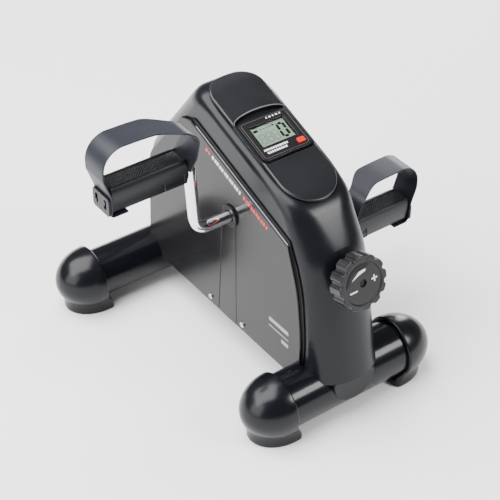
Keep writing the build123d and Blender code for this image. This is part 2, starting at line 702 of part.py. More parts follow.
with BuildPart() as counter_back:
    with BuildSketch(deck_plane(CASE_Y, case_top - CASE_DEPTH)):
        RectangleRounded(
            CASE_WIDTH - 2.2 * CASE_WALL, CASE_LENGTH - 2.2 * CASE_WALL, CASE_CORNER_R - 1.1 * CASE_WALL
        )
    extrude(amount=BACK_T)
counter_back.part.label = "counter_back"
export_step(counter_back.part, "parts/counter_back.step")

with BuildPart() as mode_button:
    with BuildSketch(deck_plane(CASE_Y, case_top - BUTTON_DROP)):
        with Locations((BUTTON_X, BUTTON_SHIFT)):
            RectangleRounded(BUTTON_WIDTH, BUTTON_LENGTH, BUTTON_CORNER_R)
    extrude(amount=BUTTON_T)
mode_button.part.label = "mode_button"
export_step(mode_button.part, "parts/mode_button.step")

# ---- crank: two bent rods joined in the brake drum ----
with BuildPart() as brake_drum:
    with BuildSketch(Plane.YZ.offset(-DRUM_HALF)):
        with Locations((CRANK_Y, CRANK_Z)):
            Circle(DRUM_R)
            Circle(DRUM_R - DRUM_RIM_T, mode=Mode.SUBTRACT)
    extrude(amount=2 * DRUM_HALF)
    with BuildSketch(Plane.YZ.offset(-DRUM_WEB_HALF)):
        with Locations((CRANK_Y, CRANK_Z)):
            Circle(DRUM_R - DRUM_RIM_T / 2)
    extrude(amount=2 * DRUM_WEB_HALF)
    with BuildSketch(Plane.YZ.offset(-DRUM_HUB_HALF)):
        with Locations((CRANK_Y, CRANK_Z)):
            Circle(DRUM_HUB_R)
    extrude(amount=2 * DRUM_HUB_HALF)
    with BuildSketch(Plane.YZ.offset(-DRUM_HUB_HALF)):
        with Locations((CRANK_Y, CRANK_Z)):
            Circle(ROD_R)
    extrude(amount=2 * DRUM_HUB_HALF, mode=Mode.SUBTRACT)
    with BuildSketch(Plane.YZ.offset(-DRUM_WEB_HALF)):
        with Locations((CRANK_Y, CRANK_Z)):
            with PolarLocations(WEB_HOLE_PITCH_R, WEB_HOLES):
                Circle(WEB_HOLE_R)
    extrude(amount=2 * DRUM_WEB_HALF, mode=Mode.SUBTRACT)
brake_drum.part.label = "brake_drum"
export_step(brake_drum.part, "parts/brake_drum.step")

for side_name, side in SIDES.items():
    spindle_y, spindle_z = pedal_spindle(side)
    with BuildPart() as crank:
        with BuildLine():
            FilletPolyline(
                (side * ROD_START_X, CRANK_Y, CRANK_Z),
                (side * ARM_X, CRANK_Y, CRANK_Z),
                (side * ARM_X, spindle_y, spindle_z),
                (side * SPINDLE_END_X, spindle_y, spindle_z),
                radius=[AXLE_BEND_R, SPINDLE_BEND_R],
            )
        with BuildSketch(Plane.YZ.offset(side * ROD_START_X)):
            with Locations((CRANK_Y, CRANK_Z)):
                Circle(ROD_R)
        sweep()
    crank.part.label = f"{side_name}_crank"
    export_step(crank.part, f"parts/{side_name}_crank.step")

    with BuildPart() as pedal:
        with BuildSketch(across(side, PEDAL_IN_X, PEDAL_OUT_X)):
            with Locations((spindle_y, spindle_z)):
                RectangleRounded(PEDAL_DEPTH, PEDAL_HEIGHT, PEDAL_CORNER_R)
        extrude(amount=PEDAL_OUT_X - PEDAL_IN_X)
        with BuildSketch(across(side, PEDAL_IN_X, PEDAL_OUT_X)):
            with Locations((spindle_y, spindle_z)):
                Circle(BUSH_R)
        extrude(amount=PEDAL_OUT_X - PEDAL_IN_X, mode=Mode.SUBTRACT)
    pedal.part.label = f"{side_name}_pedal"
    export_step(pedal.part, f"parts/{side_name}_pedal.step")

    with BuildPart() as bushes:
        for bush_x in (PEDAL_IN_X + BUSH_IN, PEDAL_OUT_X - BUSH_LENGTH - BUSH_OUT):
            with BuildSketch(across(side, bush_x, bush_x + BUSH_LENGTH)):
                with Locations((spindle_y, spindle_z)):
                    Circle(BUSH_R)
                    Circle(ROD_R + RUN_CLEAR, mode=Mode.SUBTRACT)
            extrude(amount=BUSH_LENGTH)
    bushes.part.label = f"{side_name}_pedal_bushes"
    export_step(bushes.part, f"parts/{side_name}_pedal_bushes.step")

    with BuildPart() as spindle_cap:
        with BuildSketch(across(side, SPINDLE_END_X, SPINDLE_END_X + SPINDLE_CAP_T)):
            with Locations((spindle_y, spindle_z)):
                Circle(SPINDLE_CAP_R)
        extrude(amount=SPINDLE_CAP_T)
    spindle_cap.part.label = f"{side_name}_spindle_cap"
    export_step(spindle_cap.part, f"parts/{side_name}_spindle_cap.step")

    wrap = STRAP_T / 2 + STRAP_GAP
    with BuildPart() as strap:
        with BuildSketch(Plane.XZ.offset(-spindle_y)):
            with BuildLine():
                FilletPolyline(
                    (side * (PEDAL_IN_X - wrap), spindle_z + STRAP_FOOT),
                    (side * (PEDAL_IN_X - wrap), spindle_z + STRAP_TOP - STRAP_TOP_RISE),
                    (side * STRAP_OUT_X, spindle_z + STRAP_TOP),
                    (side * STRAP_OUT_X, spindle_z + STRAP_BULGE_UP),
                    (side * (PEDAL_OUT_X + wrap), spindle_z + STRAP_HIP_UP),
                    (side * (PEDAL_OUT_X + wrap), spindle_z - PEDAL_HEIGHT / 2 - wrap),
                    (side * (PEDAL_OUT_X - STRAP_TUCK), spindle_z - PEDAL_HEIGHT / 2 - wrap),
                    radius=STRAP_RADII,
                )
            trace(line_width=STRAP_T)
        extrude(amount=STRAP_HALF, both=True)
    strap.part.label = f"{side_name}_strap"
    export_step(strap.part, f"parts/{side_name}_strap.step")

    buckle_x = PEDAL_OUT_X + wrap + STRAP_T / 2
    with BuildPart() as strap_plate:
        with BuildSketch(across(side, buckle_x, buckle_x + BUCKLE_T)):
            with Locations((spindle_y, spindle_z - BUCKLE_DROP)):
                RectangleRounded(BUCKLE_WIDTH, BUCKLE_HEIGHT, BUCKLE_CORNER_R)
                with GridLocations(BUCKLE_PITCH, 0, 2, 1):
                    SlotOverall(*BUCKLE_SLOT, rotation=90, mode=Mode.SUBTRACT)
        extrude(amount=BUCKLE_T)
    strap_plate.part.label = f"{side_name}_strap_plate"
    export_step(strap_plate.part, f"parts/{side_name}_strap_plate.step")

# ---- felt band brake: band, anchor, spring, carrier, screw, collar and knob ----
line_y = knob_out[1]
line_z = knob_out[2]


def along_screw(depth):
    """Y and Z of a point on the brake screw's axis, a depth into the housing."""
    return KNOB_Y - depth * line_y, KNOB_Z - depth * line_z


tangent_depth = (KNOB_Y - CRANK_Y) * line_y + (KNOB_Z - CRANK_Z) * line_z
band_leave = (CRANK_Y - BAND_MID_R * line_z, CRANK_Z + BAND_MID_R * line_y)
band_end = (band_leave[0] + BAND_TAIL * line_y, band_leave[1] + BAND_TAIL * line_z)
anchor_angle = radians(BAND_ANCHOR_ANGLE + ANCHOR_AHEAD)
anchor = (CRANK_Y + ANCHOR_DISTANCE * cos(anchor_angle), CRANK_Z + ANCHOR_DISTANCE * sin(anchor_angle))
with BuildPart() as brake_band:
    with BuildSketch(Plane.YZ.offset(-BAND_HALF)):
        with BuildLine():
            Line(band_end, band_leave)
            CenterArc((CRANK_Y, CRANK_Z), BAND_MID_R, -90 - KNOB_TILT, BAND_ANCHOR_ANGLE + 90 + KNOB_TILT)
        trace(line_width=BAND_T)
        with Locations(anchor):
            Circle(ANCHOR_R + ANCHOR_EYE_T)
            Circle(ANCHOR_R + RUN_CLEAR, mode=Mode.SUBTRACT)
    extrude(amount=2 * BAND_HALF)
brake_band.part.label = "brake_band"
export_step(brake_band.part, "parts/brake_band.step")

with BuildPart() as band_anchor:
    with BuildSketch(Plane.YZ.offset(-PLATE_X)):
        with Locations(anchor):
            Circle(ANCHOR_R)
    extrude(amount=2 * PLATE_X)
band_anchor.part.label = "band_anchor"
export_step(band_anchor.part, "parts/band_anchor.step")

carrier_deep = SCREW_REACH + CARRIER_PAST
with BuildPart() as brake_carrier:
    with BuildSketch(knob_plane(-carrier_deep)):
        Rectangle(2 * CARRIER_HALF, CARRIER_HEIGHT)
        Circle(SCREW_ROD_R + RUN_CLEAR, mode=Mode.SUBTRACT)
    extrude(amount=CARRIER_T)
brake_carrier.part.label = "brake_carrier"
export_step(brake_carrier.part, "parts/brake_carrier.step")

with BuildPart() as brake_spring:
    with BuildSketch(knob_plane(-carrier_deep - SPRING_LENGTH)):
        Circle(SPRING_R)
        Circle(SPRING_BORE_R, mode=Mode.SUBTRACT)
    extrude(amount=SPRING_LENGTH)
brake_spring.part.label = "brake_spring"
export_step(brake_spring.part, "parts/brake_spring.step")

guide_front = along_screw(carrier_deep - CARRIER_T - GUIDE_PAST)
guide_rear = along_screw(carrier_deep + GUIDE_PAST)
with BuildPart() as brake_guide:
    with BuildSketch(Plane.YZ.offset(-CARRIER_HALF - GUIDE_GAP - GUIDE_T)):
        with BuildLine():
            Polyline(
                (guide_front[0], RAIL_HIGH),
                (guide_rear[0], RAIL_HIGH),
                (guide_rear[0], guide_rear[1] + GUIDE_RISE),
                (guide_front[0], guide_front[1] + GUIDE_RISE),
                close=True,
            )
        make_face()
    extrude(amount=2 * (CARRIER_HALF + GUIDE_GAP + GUIDE_T))
    with BuildSketch(Plane.YZ.offset(-CARRIER_HALF - GUIDE_GAP)):
        with BuildLine():
            Polyline(
                (guide_front[0] - 1, RAIL_HIGH + GUIDE_T),
                (guide_rear[0] + 1, RAIL_HIGH + GUIDE_T),
                (guide_rear[0] + 1, guide_rear[1] + 2 * GUIDE_RISE),
                (guide_front[0] - 1, guide_front[1] + 2 * GUIDE_RISE),
                close=True,
            )
        make_face()
    extrude(amount=2 * (CARRIER_HALF + GUIDE_GAP), mode=Mode.SUBTRACT)
brake_guide.part.label = "brake_guide"
export_step(brake_guide.part, "parts/brake_guide.step")

screw_out = KNOB_BACK + KNOB_T - SCREW_SHORT
with BuildPart() as brake_screw:
    with BuildSketch(knob_plane(-SCREW_REACH)):
        Circle(SCREW_ROD_R)
    extrude(amount=SCREW_REACH + screw_out)
brake_screw.part.label = "brake_screw"
export_step(brake_screw.part, "parts/brake_screw.step")

with BuildPart() as knob_collar:
    with BuildSketch(knob_plane(-3 * WALL)):
        Circle(COLLAR_NECK_R)
    extrude(amount=3 * WALL - COLLAR_SEAT)
    with BuildSketch(knob_plane(-COLLAR_SEAT)):
        Circle(COLLAR_R)
    extrude(amount=KNOB_BACK + COLLAR_SEAT + COLLAR_REACH)
    with BuildSketch(knob_plane(-3 * WALL)):
        Circle(SCREW_ROD_R + RUN_CLEAR)
    extrude(amount=4 * KNOB_BACK, mode=Mode.SUBTRACT)
knob_collar.part.label = "knob_collar"
export_step(knob_collar.part, "parts/knob_collar.step")

with BuildPart() as tension_knob:
    with BuildSketch(knob_plane(KNOB_BACK)):
        Circle(KNOB_R)
        with PolarLocations(KNOB_R + KNOB_SCALLOP_OUT, KNOB_LOBES):
            Circle(KNOB_SCALLOP_R, mode=Mode.SUBTRACT)
    extrude(amount=KNOB_T)
    with BuildSketch(knob_plane(KNOB_BACK)):
        Circle(KNOB_RECESS_R)
    extrude(amount=KNOB_BACK_RECESS, mode=Mode.SUBTRACT)
    with BuildSketch(knob_plane(KNOB_BACK + KNOB_BACK_RECESS)):
        Circle(KNOB_RECESS_R)
        Circle(KNOB_HUB_R, mode=Mode.SUBTRACT)
    extrude(amount=KNOB_RECESS - KNOB_BACK_RECESS, mode=Mode.SUBTRACT)
    with BuildSketch(knob_plane(KNOB_BACK)):
        Circle(SCREW_ROD_R)
    extrude(amount=KNOB_T + 1, mode=Mode.SUBTRACT)
tension_knob.part.label = "tension_knob"
export_step(tension_knob.part, "parts/tension_knob.step")

# ---- speed pick-up: a magnet on the drum and a reed sensor on the left plate ----
pickup = (CRANK_Y + PICKUP_RADIUS, CRANK_Z)
with BuildPart() as drum_magnet:
    with BuildSketch(Plane.YZ.offset(-DRUM_HALF - MAGNET_T)):
        with Locations(pickup):
            Circle(MAGNET_R)
    extrude(amount=MAGNET_T)
drum_magnet.part.label = "drum_magnet"
export_step(drum_magnet.part, "parts/drum_magnet.step")

with BuildPart() as speed_sensor:
    with BuildSketch(Plane.YZ.offset(-PLATE_X)):
        with Locations(pickup):
            Rectangle(SENSOR_LENGTH, SENSOR_HEIGHT)
    extrude(amount=SENSOR_T)
speed_sensor.part.label = "speed_sensor"
export_step(speed_sensor.part, "parts/speed_sensor.step")
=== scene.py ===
import json
from math import atan, copysign, cos, pi, radians, sin, tan

import bmesh
import bpy
from mathutils import Matrix, Vector


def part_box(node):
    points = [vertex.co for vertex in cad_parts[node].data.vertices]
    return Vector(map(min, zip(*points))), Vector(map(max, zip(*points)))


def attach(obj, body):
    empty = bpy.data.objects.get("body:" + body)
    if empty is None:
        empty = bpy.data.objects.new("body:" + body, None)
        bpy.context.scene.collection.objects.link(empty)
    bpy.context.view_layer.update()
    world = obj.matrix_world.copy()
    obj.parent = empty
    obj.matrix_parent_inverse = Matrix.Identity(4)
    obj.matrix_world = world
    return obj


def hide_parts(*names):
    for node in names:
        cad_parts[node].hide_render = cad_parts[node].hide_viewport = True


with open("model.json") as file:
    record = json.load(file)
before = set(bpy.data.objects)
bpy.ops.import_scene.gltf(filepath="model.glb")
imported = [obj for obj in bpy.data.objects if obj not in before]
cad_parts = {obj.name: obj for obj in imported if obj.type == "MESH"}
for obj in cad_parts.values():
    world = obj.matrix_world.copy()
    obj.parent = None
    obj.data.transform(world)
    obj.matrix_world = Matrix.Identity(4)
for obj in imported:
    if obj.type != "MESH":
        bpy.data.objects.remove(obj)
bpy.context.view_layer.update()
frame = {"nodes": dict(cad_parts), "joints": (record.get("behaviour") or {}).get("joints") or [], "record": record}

# Lengths below are millimetres in the frame's own axes: X along the crank axle, -Y towards the
# user, Z up. Each finished piece is scaled to metres once, when it becomes an object.
MM = 0.001
SIDES = {"left": -1, "right": 1}
joints = {joint["name"]: joint for joint in frame["joints"]}


def joint_place(name):
    """Place of a joint in millimetres."""
    return Vector(joints[name]["pos_m"]) / MM


def node_span(node):
    """Lowest and highest corners of a CAD node in millimetres."""
    low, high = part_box(node)
    return low / MM, high / MM


# ---- dimensions ----
AXLE = joint_place("crank_spin")
TUBE_Z = 35.0
FRONT_TUBE_Y = -145.5
REAR_TUBE_Y = 154.5
SHELL_HALF = node_span("right_shell")[1].x
SHELL_WALL = 2.6
SHELL_FOOT = node_span("left_panel")[0].z
PANEL_T = 3.2
INK_T = 0.12
DECK_SLOPE = 0.35
DECK_Z = 288.2
DECK_ANGLE = atan(DECK_SLOPE)
CASE_Y = -29.5
CASE_SIZE = (61.0, 53.0)
PAD_T = 4.2
CASE_FACE = PAD_T + 1.5


def deck_z(y):
    """Height of the slanted deck at a place along Y."""
    return DECK_Z + DECK_SLOPE * y


REAR_FOOT = (170.5, 58.0)
REAR_SHOULDER = (162.5, 186.0)
REAR_TOP = (63.5, deck_z(63.5))
BROW = (-113.5, deck_z(-113.5))
NECK_TOP = (-150.5, 201.0)
NECK_FOOT = (-181.1, 56.0)
OUTLINE = [REAR_FOOT, REAR_SHOULDER, REAR_TOP, BROW, NECK_TOP, NECK_FOOT]
OUTLINE_RADII = [50.0, 30.0, 45.0, 60.0]

SEAM_FRONT = (-114.0, 206.5)
SEAM_REAR = (62.5, 268.0)
PANEL_FRONT_CURVE = [(-129.0, 162.5), (-135.0, 126.5), (-138.0, 93.5), (-137.5, 66.0)]


# ---- drawing helpers ----
def circle(radius, count=48, centre=(0.0, 0.0)):
    """Points of a circle in a plane."""
    turn = 2 * pi / count
    return [(centre[0] + radius * cos(i * turn), centre[1] + radius * sin(i * turn)) for i in range(count)]


def rounded_rectangle(width, length, radius, centre=(0.0, 0.0), steps=5):
    """Points of a rectangle with rounded corners in a plane, anticlockwise."""
    points = []
    corners = ((1, 1, 0.0), (-1, 1, pi / 2), (-1, -1, pi), (1, -1, 3 * pi / 2))
    for across, along, start in corners:
        middle_x = centre[0] + across * (width / 2 - radius)
        middle_y = centre[1] + along * (length / 2 - radius)
        for i in range(steps + 1):
            angle = start + i * pi / 2 / steps
            points.append((middle_x + radius * cos(angle), middle_y + radius * sin(angle)))
    return points


def rounded_line(points, radii, turn_step=radians(6), run_step=12.0):
    """Open line through points with its inner corners rounded, as evenly spaced points."""
    corners = [Vector(point) for point in points]
    line = [corners[0]]

    def run_to(end):
        start = line[-1]
        count = max(1, round((end - start).length / run_step))
        for i in range(1, count + 1):
            line.append(start.lerp(end, i / count))

    for before, corner, after, radius in zip(corners, corners[1:], corners[2:], radii):
        arriving = (corner - before).normalized()
        leaving = (after - corner).normalized()
        turn = arriving.angle_signed(leaving)
        tangent = radius * tan(abs(turn) / 2)
        run_to(corner - arriving * tangent)
        start = line[-1].copy()
        bend = -1 if turn > 0 else 1
        centre = start + bend * radius * Vector((-arriving.y, arriving.x))
        count = max(2, round(abs(turn) / turn_step))
        arm = start - centre
        for i in range(1, count + 1):
            angle = bend * abs(turn) * i / count
            swung = (arm.x * cos(angle) - arm.y * sin(angle), arm.x * sin(angle) + arm.y * cos(angle))
            line.append(centre + Vector(swung))
    run_to(corners[-1])
    return line


def smooth_line(points, steps=8):
    """Open smooth curve through points (Catmull-Rom)."""
    spots = [Vector(point) for point in points]
    ends = [2 * spots[0] - spots[1]] + spots + [2 * spots[-1] - spots[-2]]
    line = []
    for a, b, c, d in zip(ends, ends[1:], ends[2:], ends[3:]):
        for i in range(steps):
            t = i / steps
            square, cube = 2 * a - 5 * b + 4 * c - d, 3 * b - a - 3 * c + d
            line.append(0.5 * (2 * b + (c - a) * t + square * t**2 + cube * t**3))
    line.append(spots[-1])
    return line


def smooth_step(value):
    """Eases from 0 to 1 as value goes from 0 to 1."""
    t = min(max(value, 0.0), 1.0)
    return t * t * (3 - 2 * t)


def closed_edges(bm, points):
    """Closed loop of edges through 3-D points."""
    verts = [bm.verts.new(point) for point in points]
    return [bm.edges.new(pair) for pair in zip(verts, verts[1:] + verts[:1])]


def loft(sections, capped=True):
    """Skin over closed sections that have the same number of points."""
    bm = bmesh.new()
    loops = [closed_edges(bm, section) for section in sections]
    for near, far in zip(loops, loops[1:]):
        bmesh.ops.bridge_loops(bm, edges=near + far)
    if capped:
        bmesh.ops.holes_fill(bm, edges=loops[0] + loops[-1], sides=0)
    bmesh.ops.recalc_face_normals(bm, faces=bm.faces[:])
    return bm


def ease_edges(bm, width, segments=3, least=radians(40)):
    """Rounds every edge that turns by more than least."""
    sharp = [edge for edge in bm.edges if len(edge.link_faces) == 2 and edge.calc_face_angle(0) > least]
    bmesh.ops.bevel(
        bm, geom=sharp, offset=width, segments=segments, profile=0.5, affect="EDGES",
        material=-1, clamp_overlap=True,
    )


def plate(outline, depth, holes=(), edge=0.0, segments=3, least=radians(40)):
    """Flat plate on the XY plane, from Z = 0 to depth, with holes and rounded rims."""
    bm = bmesh.new()
    edges = closed_edges(bm, [(x, y, 0.0) for x, y in outline])
    for hole in holes:
        edges += closed_edges(bm, [(x, y, 0.0) for x, y in hole])
    bmesh.ops.triangle_fill(bm, use_beauty=True, use_dissolve=False, edges=edges)
    bmesh.ops.dissolve_limit(bm, angle_limit=radians(1), verts=[], edges=bm.edges[:])
    grown = bmesh.ops.extrude_face_region(bm, geom=bm.faces[:], use_keep_orig=True)
    lifted = [item for item in grown["geom"] if isinstance(item, bmesh.types.BMVert)]
    bmesh.ops.translate(bm, verts=lifted, vec=(0, 0, depth))
    bmesh.ops.recalc_face_normals(bm, faces=bm.faces[:])
    if edge:
        ease_edges(bm, edge, segments, least)
    return bm


def join(target, extra):
    """Adds another bmesh to target and frees it."""
    mesh = bpy.data.meshes.new("joined")
    extra.to_mesh(mesh)
    extra.free()
    target.from_mesh(mesh)
    bpy.data.meshes.remove(mesh)
    return target


def moved(bm, matrix):
    """The bmesh placed by matrix, with its faces kept outward."""
    bmesh.ops.transform(bm, matrix=matrix, verts=bm.verts[:])
    if matrix.determinant() < 0:
        bmesh.ops.reverse_faces(bm, faces=bm.faces[:])
    return bm


def place(x_axis, y_axis, z_axis, origin):
    """Matrix that lays a drawing's axes along the given directions at origin."""
    matrix = Matrix((x_axis, y_axis, z_axis)).transposed().to_4x4()
    matrix.translation = Vector(origin)
    return matrix


def on_side(side, x):
    """Places a drawing on a side wall: its X along Y, its Y up, its thickness outward."""
    return place((0, 1, 0), (0, 0, 1), (side, 0, 0), (side * x, 0, 0))


def on_deck(rise):
    """Places a drawing on the slanted deck around the counter, raised off it."""
    along = (0, cos(DECK_ANGLE), sin(DECK_ANGLE))
    up = Vector((0, -sin(DECK_ANGLE), cos(DECK_ANGLE)))
    return place((1, 0, 0), along, up, Vector((0, CASE_Y, deck_z(CASE_Y))) + rise * up)


def piece(name, bm, body, material, replaces=(), sharp=40):
    """Turns a bmesh in millimetres into a finished object that rides on a body."""
    bmesh.ops.scale(bm, vec=(MM, MM, MM), verts=bm.verts[:])
    bm.edges.index_update()
    mesh = bpy.data.meshes.new(name)
    rims = [edge.index for edge in bm.edges if edge.is_boundary]
    bm.to_mesh(mesh)
    bm.free()
    mesh.materials.append(material)
    mesh.polygons.foreach_set("use_smooth", [True] * len(mesh.polygons))
    mesh.set_sharp_from_angle(angle=radians(sharp))
    for index in rims:
        mesh.edges[index].use_edge_sharp = True
    obj = bpy.data.objects.new(name, mesh)
    bpy.context.scene.collection.objects.link(obj)
    obj.modifiers.new("even_normals", "WEIGHTED_NORMAL").keep_sharp = True
    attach(obj, body)
    if replaces:
        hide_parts(*replaces)
    return obj


# ---- materials ----
def surface(
    name, colour, rough, metallic=0.0, coat=0.0, shine=0.18, mottle=0.12,
    grain=0.9, grain_depth=0.02, rough_vary=0.06,
):
    """A finish with soft colour mottling, uneven gloss and a fine grain (its sizes in millimetres)."""
    material = bpy.data.materials.new(name)
    material.use_nodes = True
    nodes = material.node_tree.nodes
    links = material.node_tree.links
    shader = nodes["Principled BSDF"]
    shader.inputs["Metallic"].default_value = metallic
    shader.inputs["Coat Weight"].default_value = coat
    shader.inputs["Specular IOR Level"].default_value = shine
    shader.inputs["Coat Roughness"].default_value = 0.06
    place_node = nodes.new("ShaderNodeTexCoord")
    broad = nodes.new("ShaderNodeTexNoise")
    broad.inputs["Scale"].default_value = 22.0
    broad.inputs["Detail"].default_value = 3.0
    links.new(place_node.outputs["Object"], broad.inputs["Vector"])
    tint = nodes.new("ShaderNodeValToRGB")
    tint.color_ramp.elements[0].color = [*(c * (1 - mottle) for c in colour), 1]
    tint.color_ramp.elements[1].color = [*(min(c * (1 + mottle), 1) for c in colour), 1]
    tint.color_ramp.elements[0].position = 0.3
    tint.color_ramp.elements[1].position = 0.7
    links.new(broad.outputs["Fac"], tint.inputs["Fac"])
    links.new(tint.outputs["Color"], shader.inputs["Base Color"])
    gloss = nodes.new("ShaderNodeMapRange")
    gloss.inputs["To Min"].default_value = max(rough - rough_vary, 0.01)
    gloss.inputs["To Max"].default_value = rough + rough_vary
    links.new(broad.outputs["Fac"], gloss.inputs["Value"])
    links.new(gloss.outputs["Result"], shader.inputs["Roughness"])
    fine = nodes.new("ShaderNodeTexNoise")
    fine.inputs["Scale"].default_value = 1.0 / (grain * MM)
    fine.inputs["Detail"].default_value = 2.0
    links.new(place_node.outputs["Object"], fine.inputs["Vector"])
    bump = nodes.new("ShaderNodeBump")
    bump.inputs["Strength"].default_value = 0.35
    bump.inputs["Distance"].default_value = grain_depth * MM
    links.new(fine.outputs["Fac"], bump.inputs["Height"])
    links.new(bump.outputs["Normal"], shader.inputs["Normal"])
    return material


shell_plastic = surface(
    "shell_plastic", (0.0042, 0.0048, 0.0068), 0.29, shine=0.22, grain=0.7, grain_depth=0.03
)
panel_plastic = surface(
    "panel_plastic", (0.009, 0.009, 0.010), 0.19, coat=0.04, shine=0.24, grain=1.2, grain_depth=0.006
)
pad_plastic = surface("pad_plastic", (0.0038, 0.0043, 0.006), 0.33, shine=0.42, grain=0.6, grain_depth=0.03)
# near-black, darker than the shell: painted shade of the recessed groove beside the panel
groove_painted_shade = surface("groove_painted_shade", (0.002, 0.002, 0.0025), 0.3, shine=0.08, grain_depth=0.004)
tube_paint = surface("tube_paint", (0.0035, 0.0038, 0.0058), 0.22, coat=0.12, grain=1.5, grain_depth=0.02)
cap_rubber = surface("cap_rubber", (0.003, 0.0034, 0.0052), 0.25, shine=0.26, grain=0.8, grain_depth=0.015)
strap_rubber = surface("strap_rubber", (0.0115, 0.013, 0.019), 0.44, shine=0.26, grain=0.5, grain_depth=0.04)
pedal_plastic = surface("pedal_plastic", (0.004, 0.005, 0.007), 0.3, shine=0.3, grain=0.5, grain_depth=0.04)
knob_plastic = surface("knob_plastic", (0.0075, 0.0075, 0.009), 0.3, shine=0.34, grain=0.6, grain_depth=0.03)
black_plastic = surface("black_plastic", (0.008, 0.008, 0.009), 0.3, grain_depth=0.01)
chrome = surface(
    "chrome", (0.86, 0.87, 0.89), 0.06, metallic=1.0, mottle=0.02,
    grain=3.0, grain_depth=0.002, rough_vary=0.02,
)
zinc = surface("zinc", (0.62, 0.63, 0.65), 0.28, metallic=1.0, mottle=0.08, grain=0.5, grain_depth=0.01)
frame_paint = surface("frame_paint", (0.02, 0.02, 0.021), 0.42, grain=0.9, grain_depth=0.05)
cast_iron = surface("cast_iron", (0.16, 0.16, 0.165), 0.5, metallic=0.85, grain=0.4, grain_depth=0.06)
wool_felt = surface("wool_felt", (0.46, 0.43, 0.37), 0.92, mottle=0.2, grain=0.35, grain_depth=0.25)
case_plastic = surface("case_plastic", (0.010, 0.009, 0.010), 0.26, coat=0.15, grain=0.5, grain_depth=0.015)
red_plastic = surface("red_plastic", (0.52, 0.008, 0.004), 0.45, shine=0.2, mottle=0.06, grain_depth=0.01)
display_green = surface("display_green", (0.20, 0.26, 0.195), 0.32, mottle=0.04, grain_depth=0.002)
ghost_digit = surface("ghost_digit", (0.105, 0.145, 0.125), 0.32, mottle=0.04, grain_depth=0.002)
dark_digit = surface("dark_digit", (0.003, 0.005, 0.004), 0.4, shine=0.1, grain_depth=0.002)
white_ink = surface("white_ink", (0.72, 0.73, 0.75), 0.5, mottle=0.05, grain_depth=0.004)
red_ink = surface("red_ink", (0.62, 0.05, 0.05), 0.45, mottle=0.08, grain_depth=0.004)
# dim grey: painted highlight on the rim of the pad's finger recess and on the counter's outline groove
dim_painted_highlight = surface("dim_painted_highlight", (0.10, 0.10, 0.105), 0.4, mottle=0.08, grain_depth=0.004)
# grey: print on the side badge, and a painted highlight line along the groove
grey_print_and_painted_highlight = surface("grey_print_and_painted_highlight", (0.30, 0.31, 0.33), 0.45, mottle=0.08, grain_depth=0.004)
board_green = surface("board_green", (0.012, 0.09, 0.035), 0.4, grain_depth=0.02)
clear_lens = surface("clear_lens", (0.95, 0.97, 0.96), 0.04, mottle=0.01, grain_depth=0.001, rough_vary=0.01)
clear_lens.node_tree.nodes["Principled BSDF"].inputs["Transmission Weight"].default_value = 1.0
clear_lens.node_tree.nodes["Principled BSDF"].inputs["IOR"].default_value = 1.12

SLOT_FINISH = {
    "tube_paint": tube_paint, "cap_rubber": cap_rubber, "frame_paint": frame_paint,
    "housing_plastic": shell_plastic, "panel_gloss": panel_plastic, "pad_plastic": pad_plastic,
    "counter_plastic": case_plastic, "lens_clear": clear_lens, "display_grey": display_green,
    "board_green": board_green, "cell_steel": zinc, "button_red": red_plastic, "crank_chrome": chrome,
    "drum_iron": cast_iron, "band_felt": wool_felt, "pedal_plastic": pedal_plastic,
    "bush_plastic": black_plastic, "strap_rubber": strap_rubber, "knob_plastic": knob_plastic,
}
SLOT_OF = {part["node"]: part["material_slot"] for part in frame["record"]["subparts"]}
BODY_OF = {node: body for body, nodes in frame["record"]["behaviour"]["bodies"].items() for node in nodes}


# ---- camera ----
def make_camera():
    """Camera above and to the left of the user, looking down at the whole exerciser."""
    camera = bpy.data.objects.new("camera", bpy.data.cameras.new("camera"))
    bpy.context.scene.collection.objects.link(camera)
    camera.location = (-0.74612, -1.02504, 1.10564)
    camera.rotation_euler = (radians(51.92), 0, radians(-35.72))
    camera.data.sensor_width = 36
    camera.data.lens = 104.63
    camera.data.clip_end = 20
    bpy.context.scene.camera = camera


make_camera()


# ---- housing shells ----
profile = rounded_line(OUTLINE, OUTLINE_RADII)


def profile_normals(line):
    """Outward unit normals along the housing's profile."""
    normals = []
    for i in range(len(line)):
        run = (line[min(i + 1, len(line) - 1)] - line[max(i - 1, 0)]).normalized()
        normals.append(Vector((run.y, -run.x)))
    return normals


normals = profile_normals(profile)


def edge_size(spot):
    """How deep and how wide the side edge is rounded at a place on the profile."""
    nose = smooth_step((-70 - spot.x) / 84)
    rear = smooth_step((spot.x - 20) / 60)
    return 8 + 16 * rear + 18 * nose, 8 + 18 * rear + 30 * nose


def shell_section(angle):
    """Closed section of a shell where its edge has turned by angle, or at the middle for None."""
    section = []
    for spot, normal in zip(profile, normals):
        depth, width = edge_size(spot)
        turned = angle or 0.0
        inset = depth * (1 - cos(turned))
        x = 0.0 if angle is None else SHELL_HALF - width * (1 - sin(turned))
        section.append((x, spot.x - normal.x * inset, spot.y - normal.y * inset))
    last = section[-1]
    first = section[0]
    section.append((last[0], last[1], SHELL_FOOT))
    section.append((first[0], first[1], SHELL_FOOT))
    return section


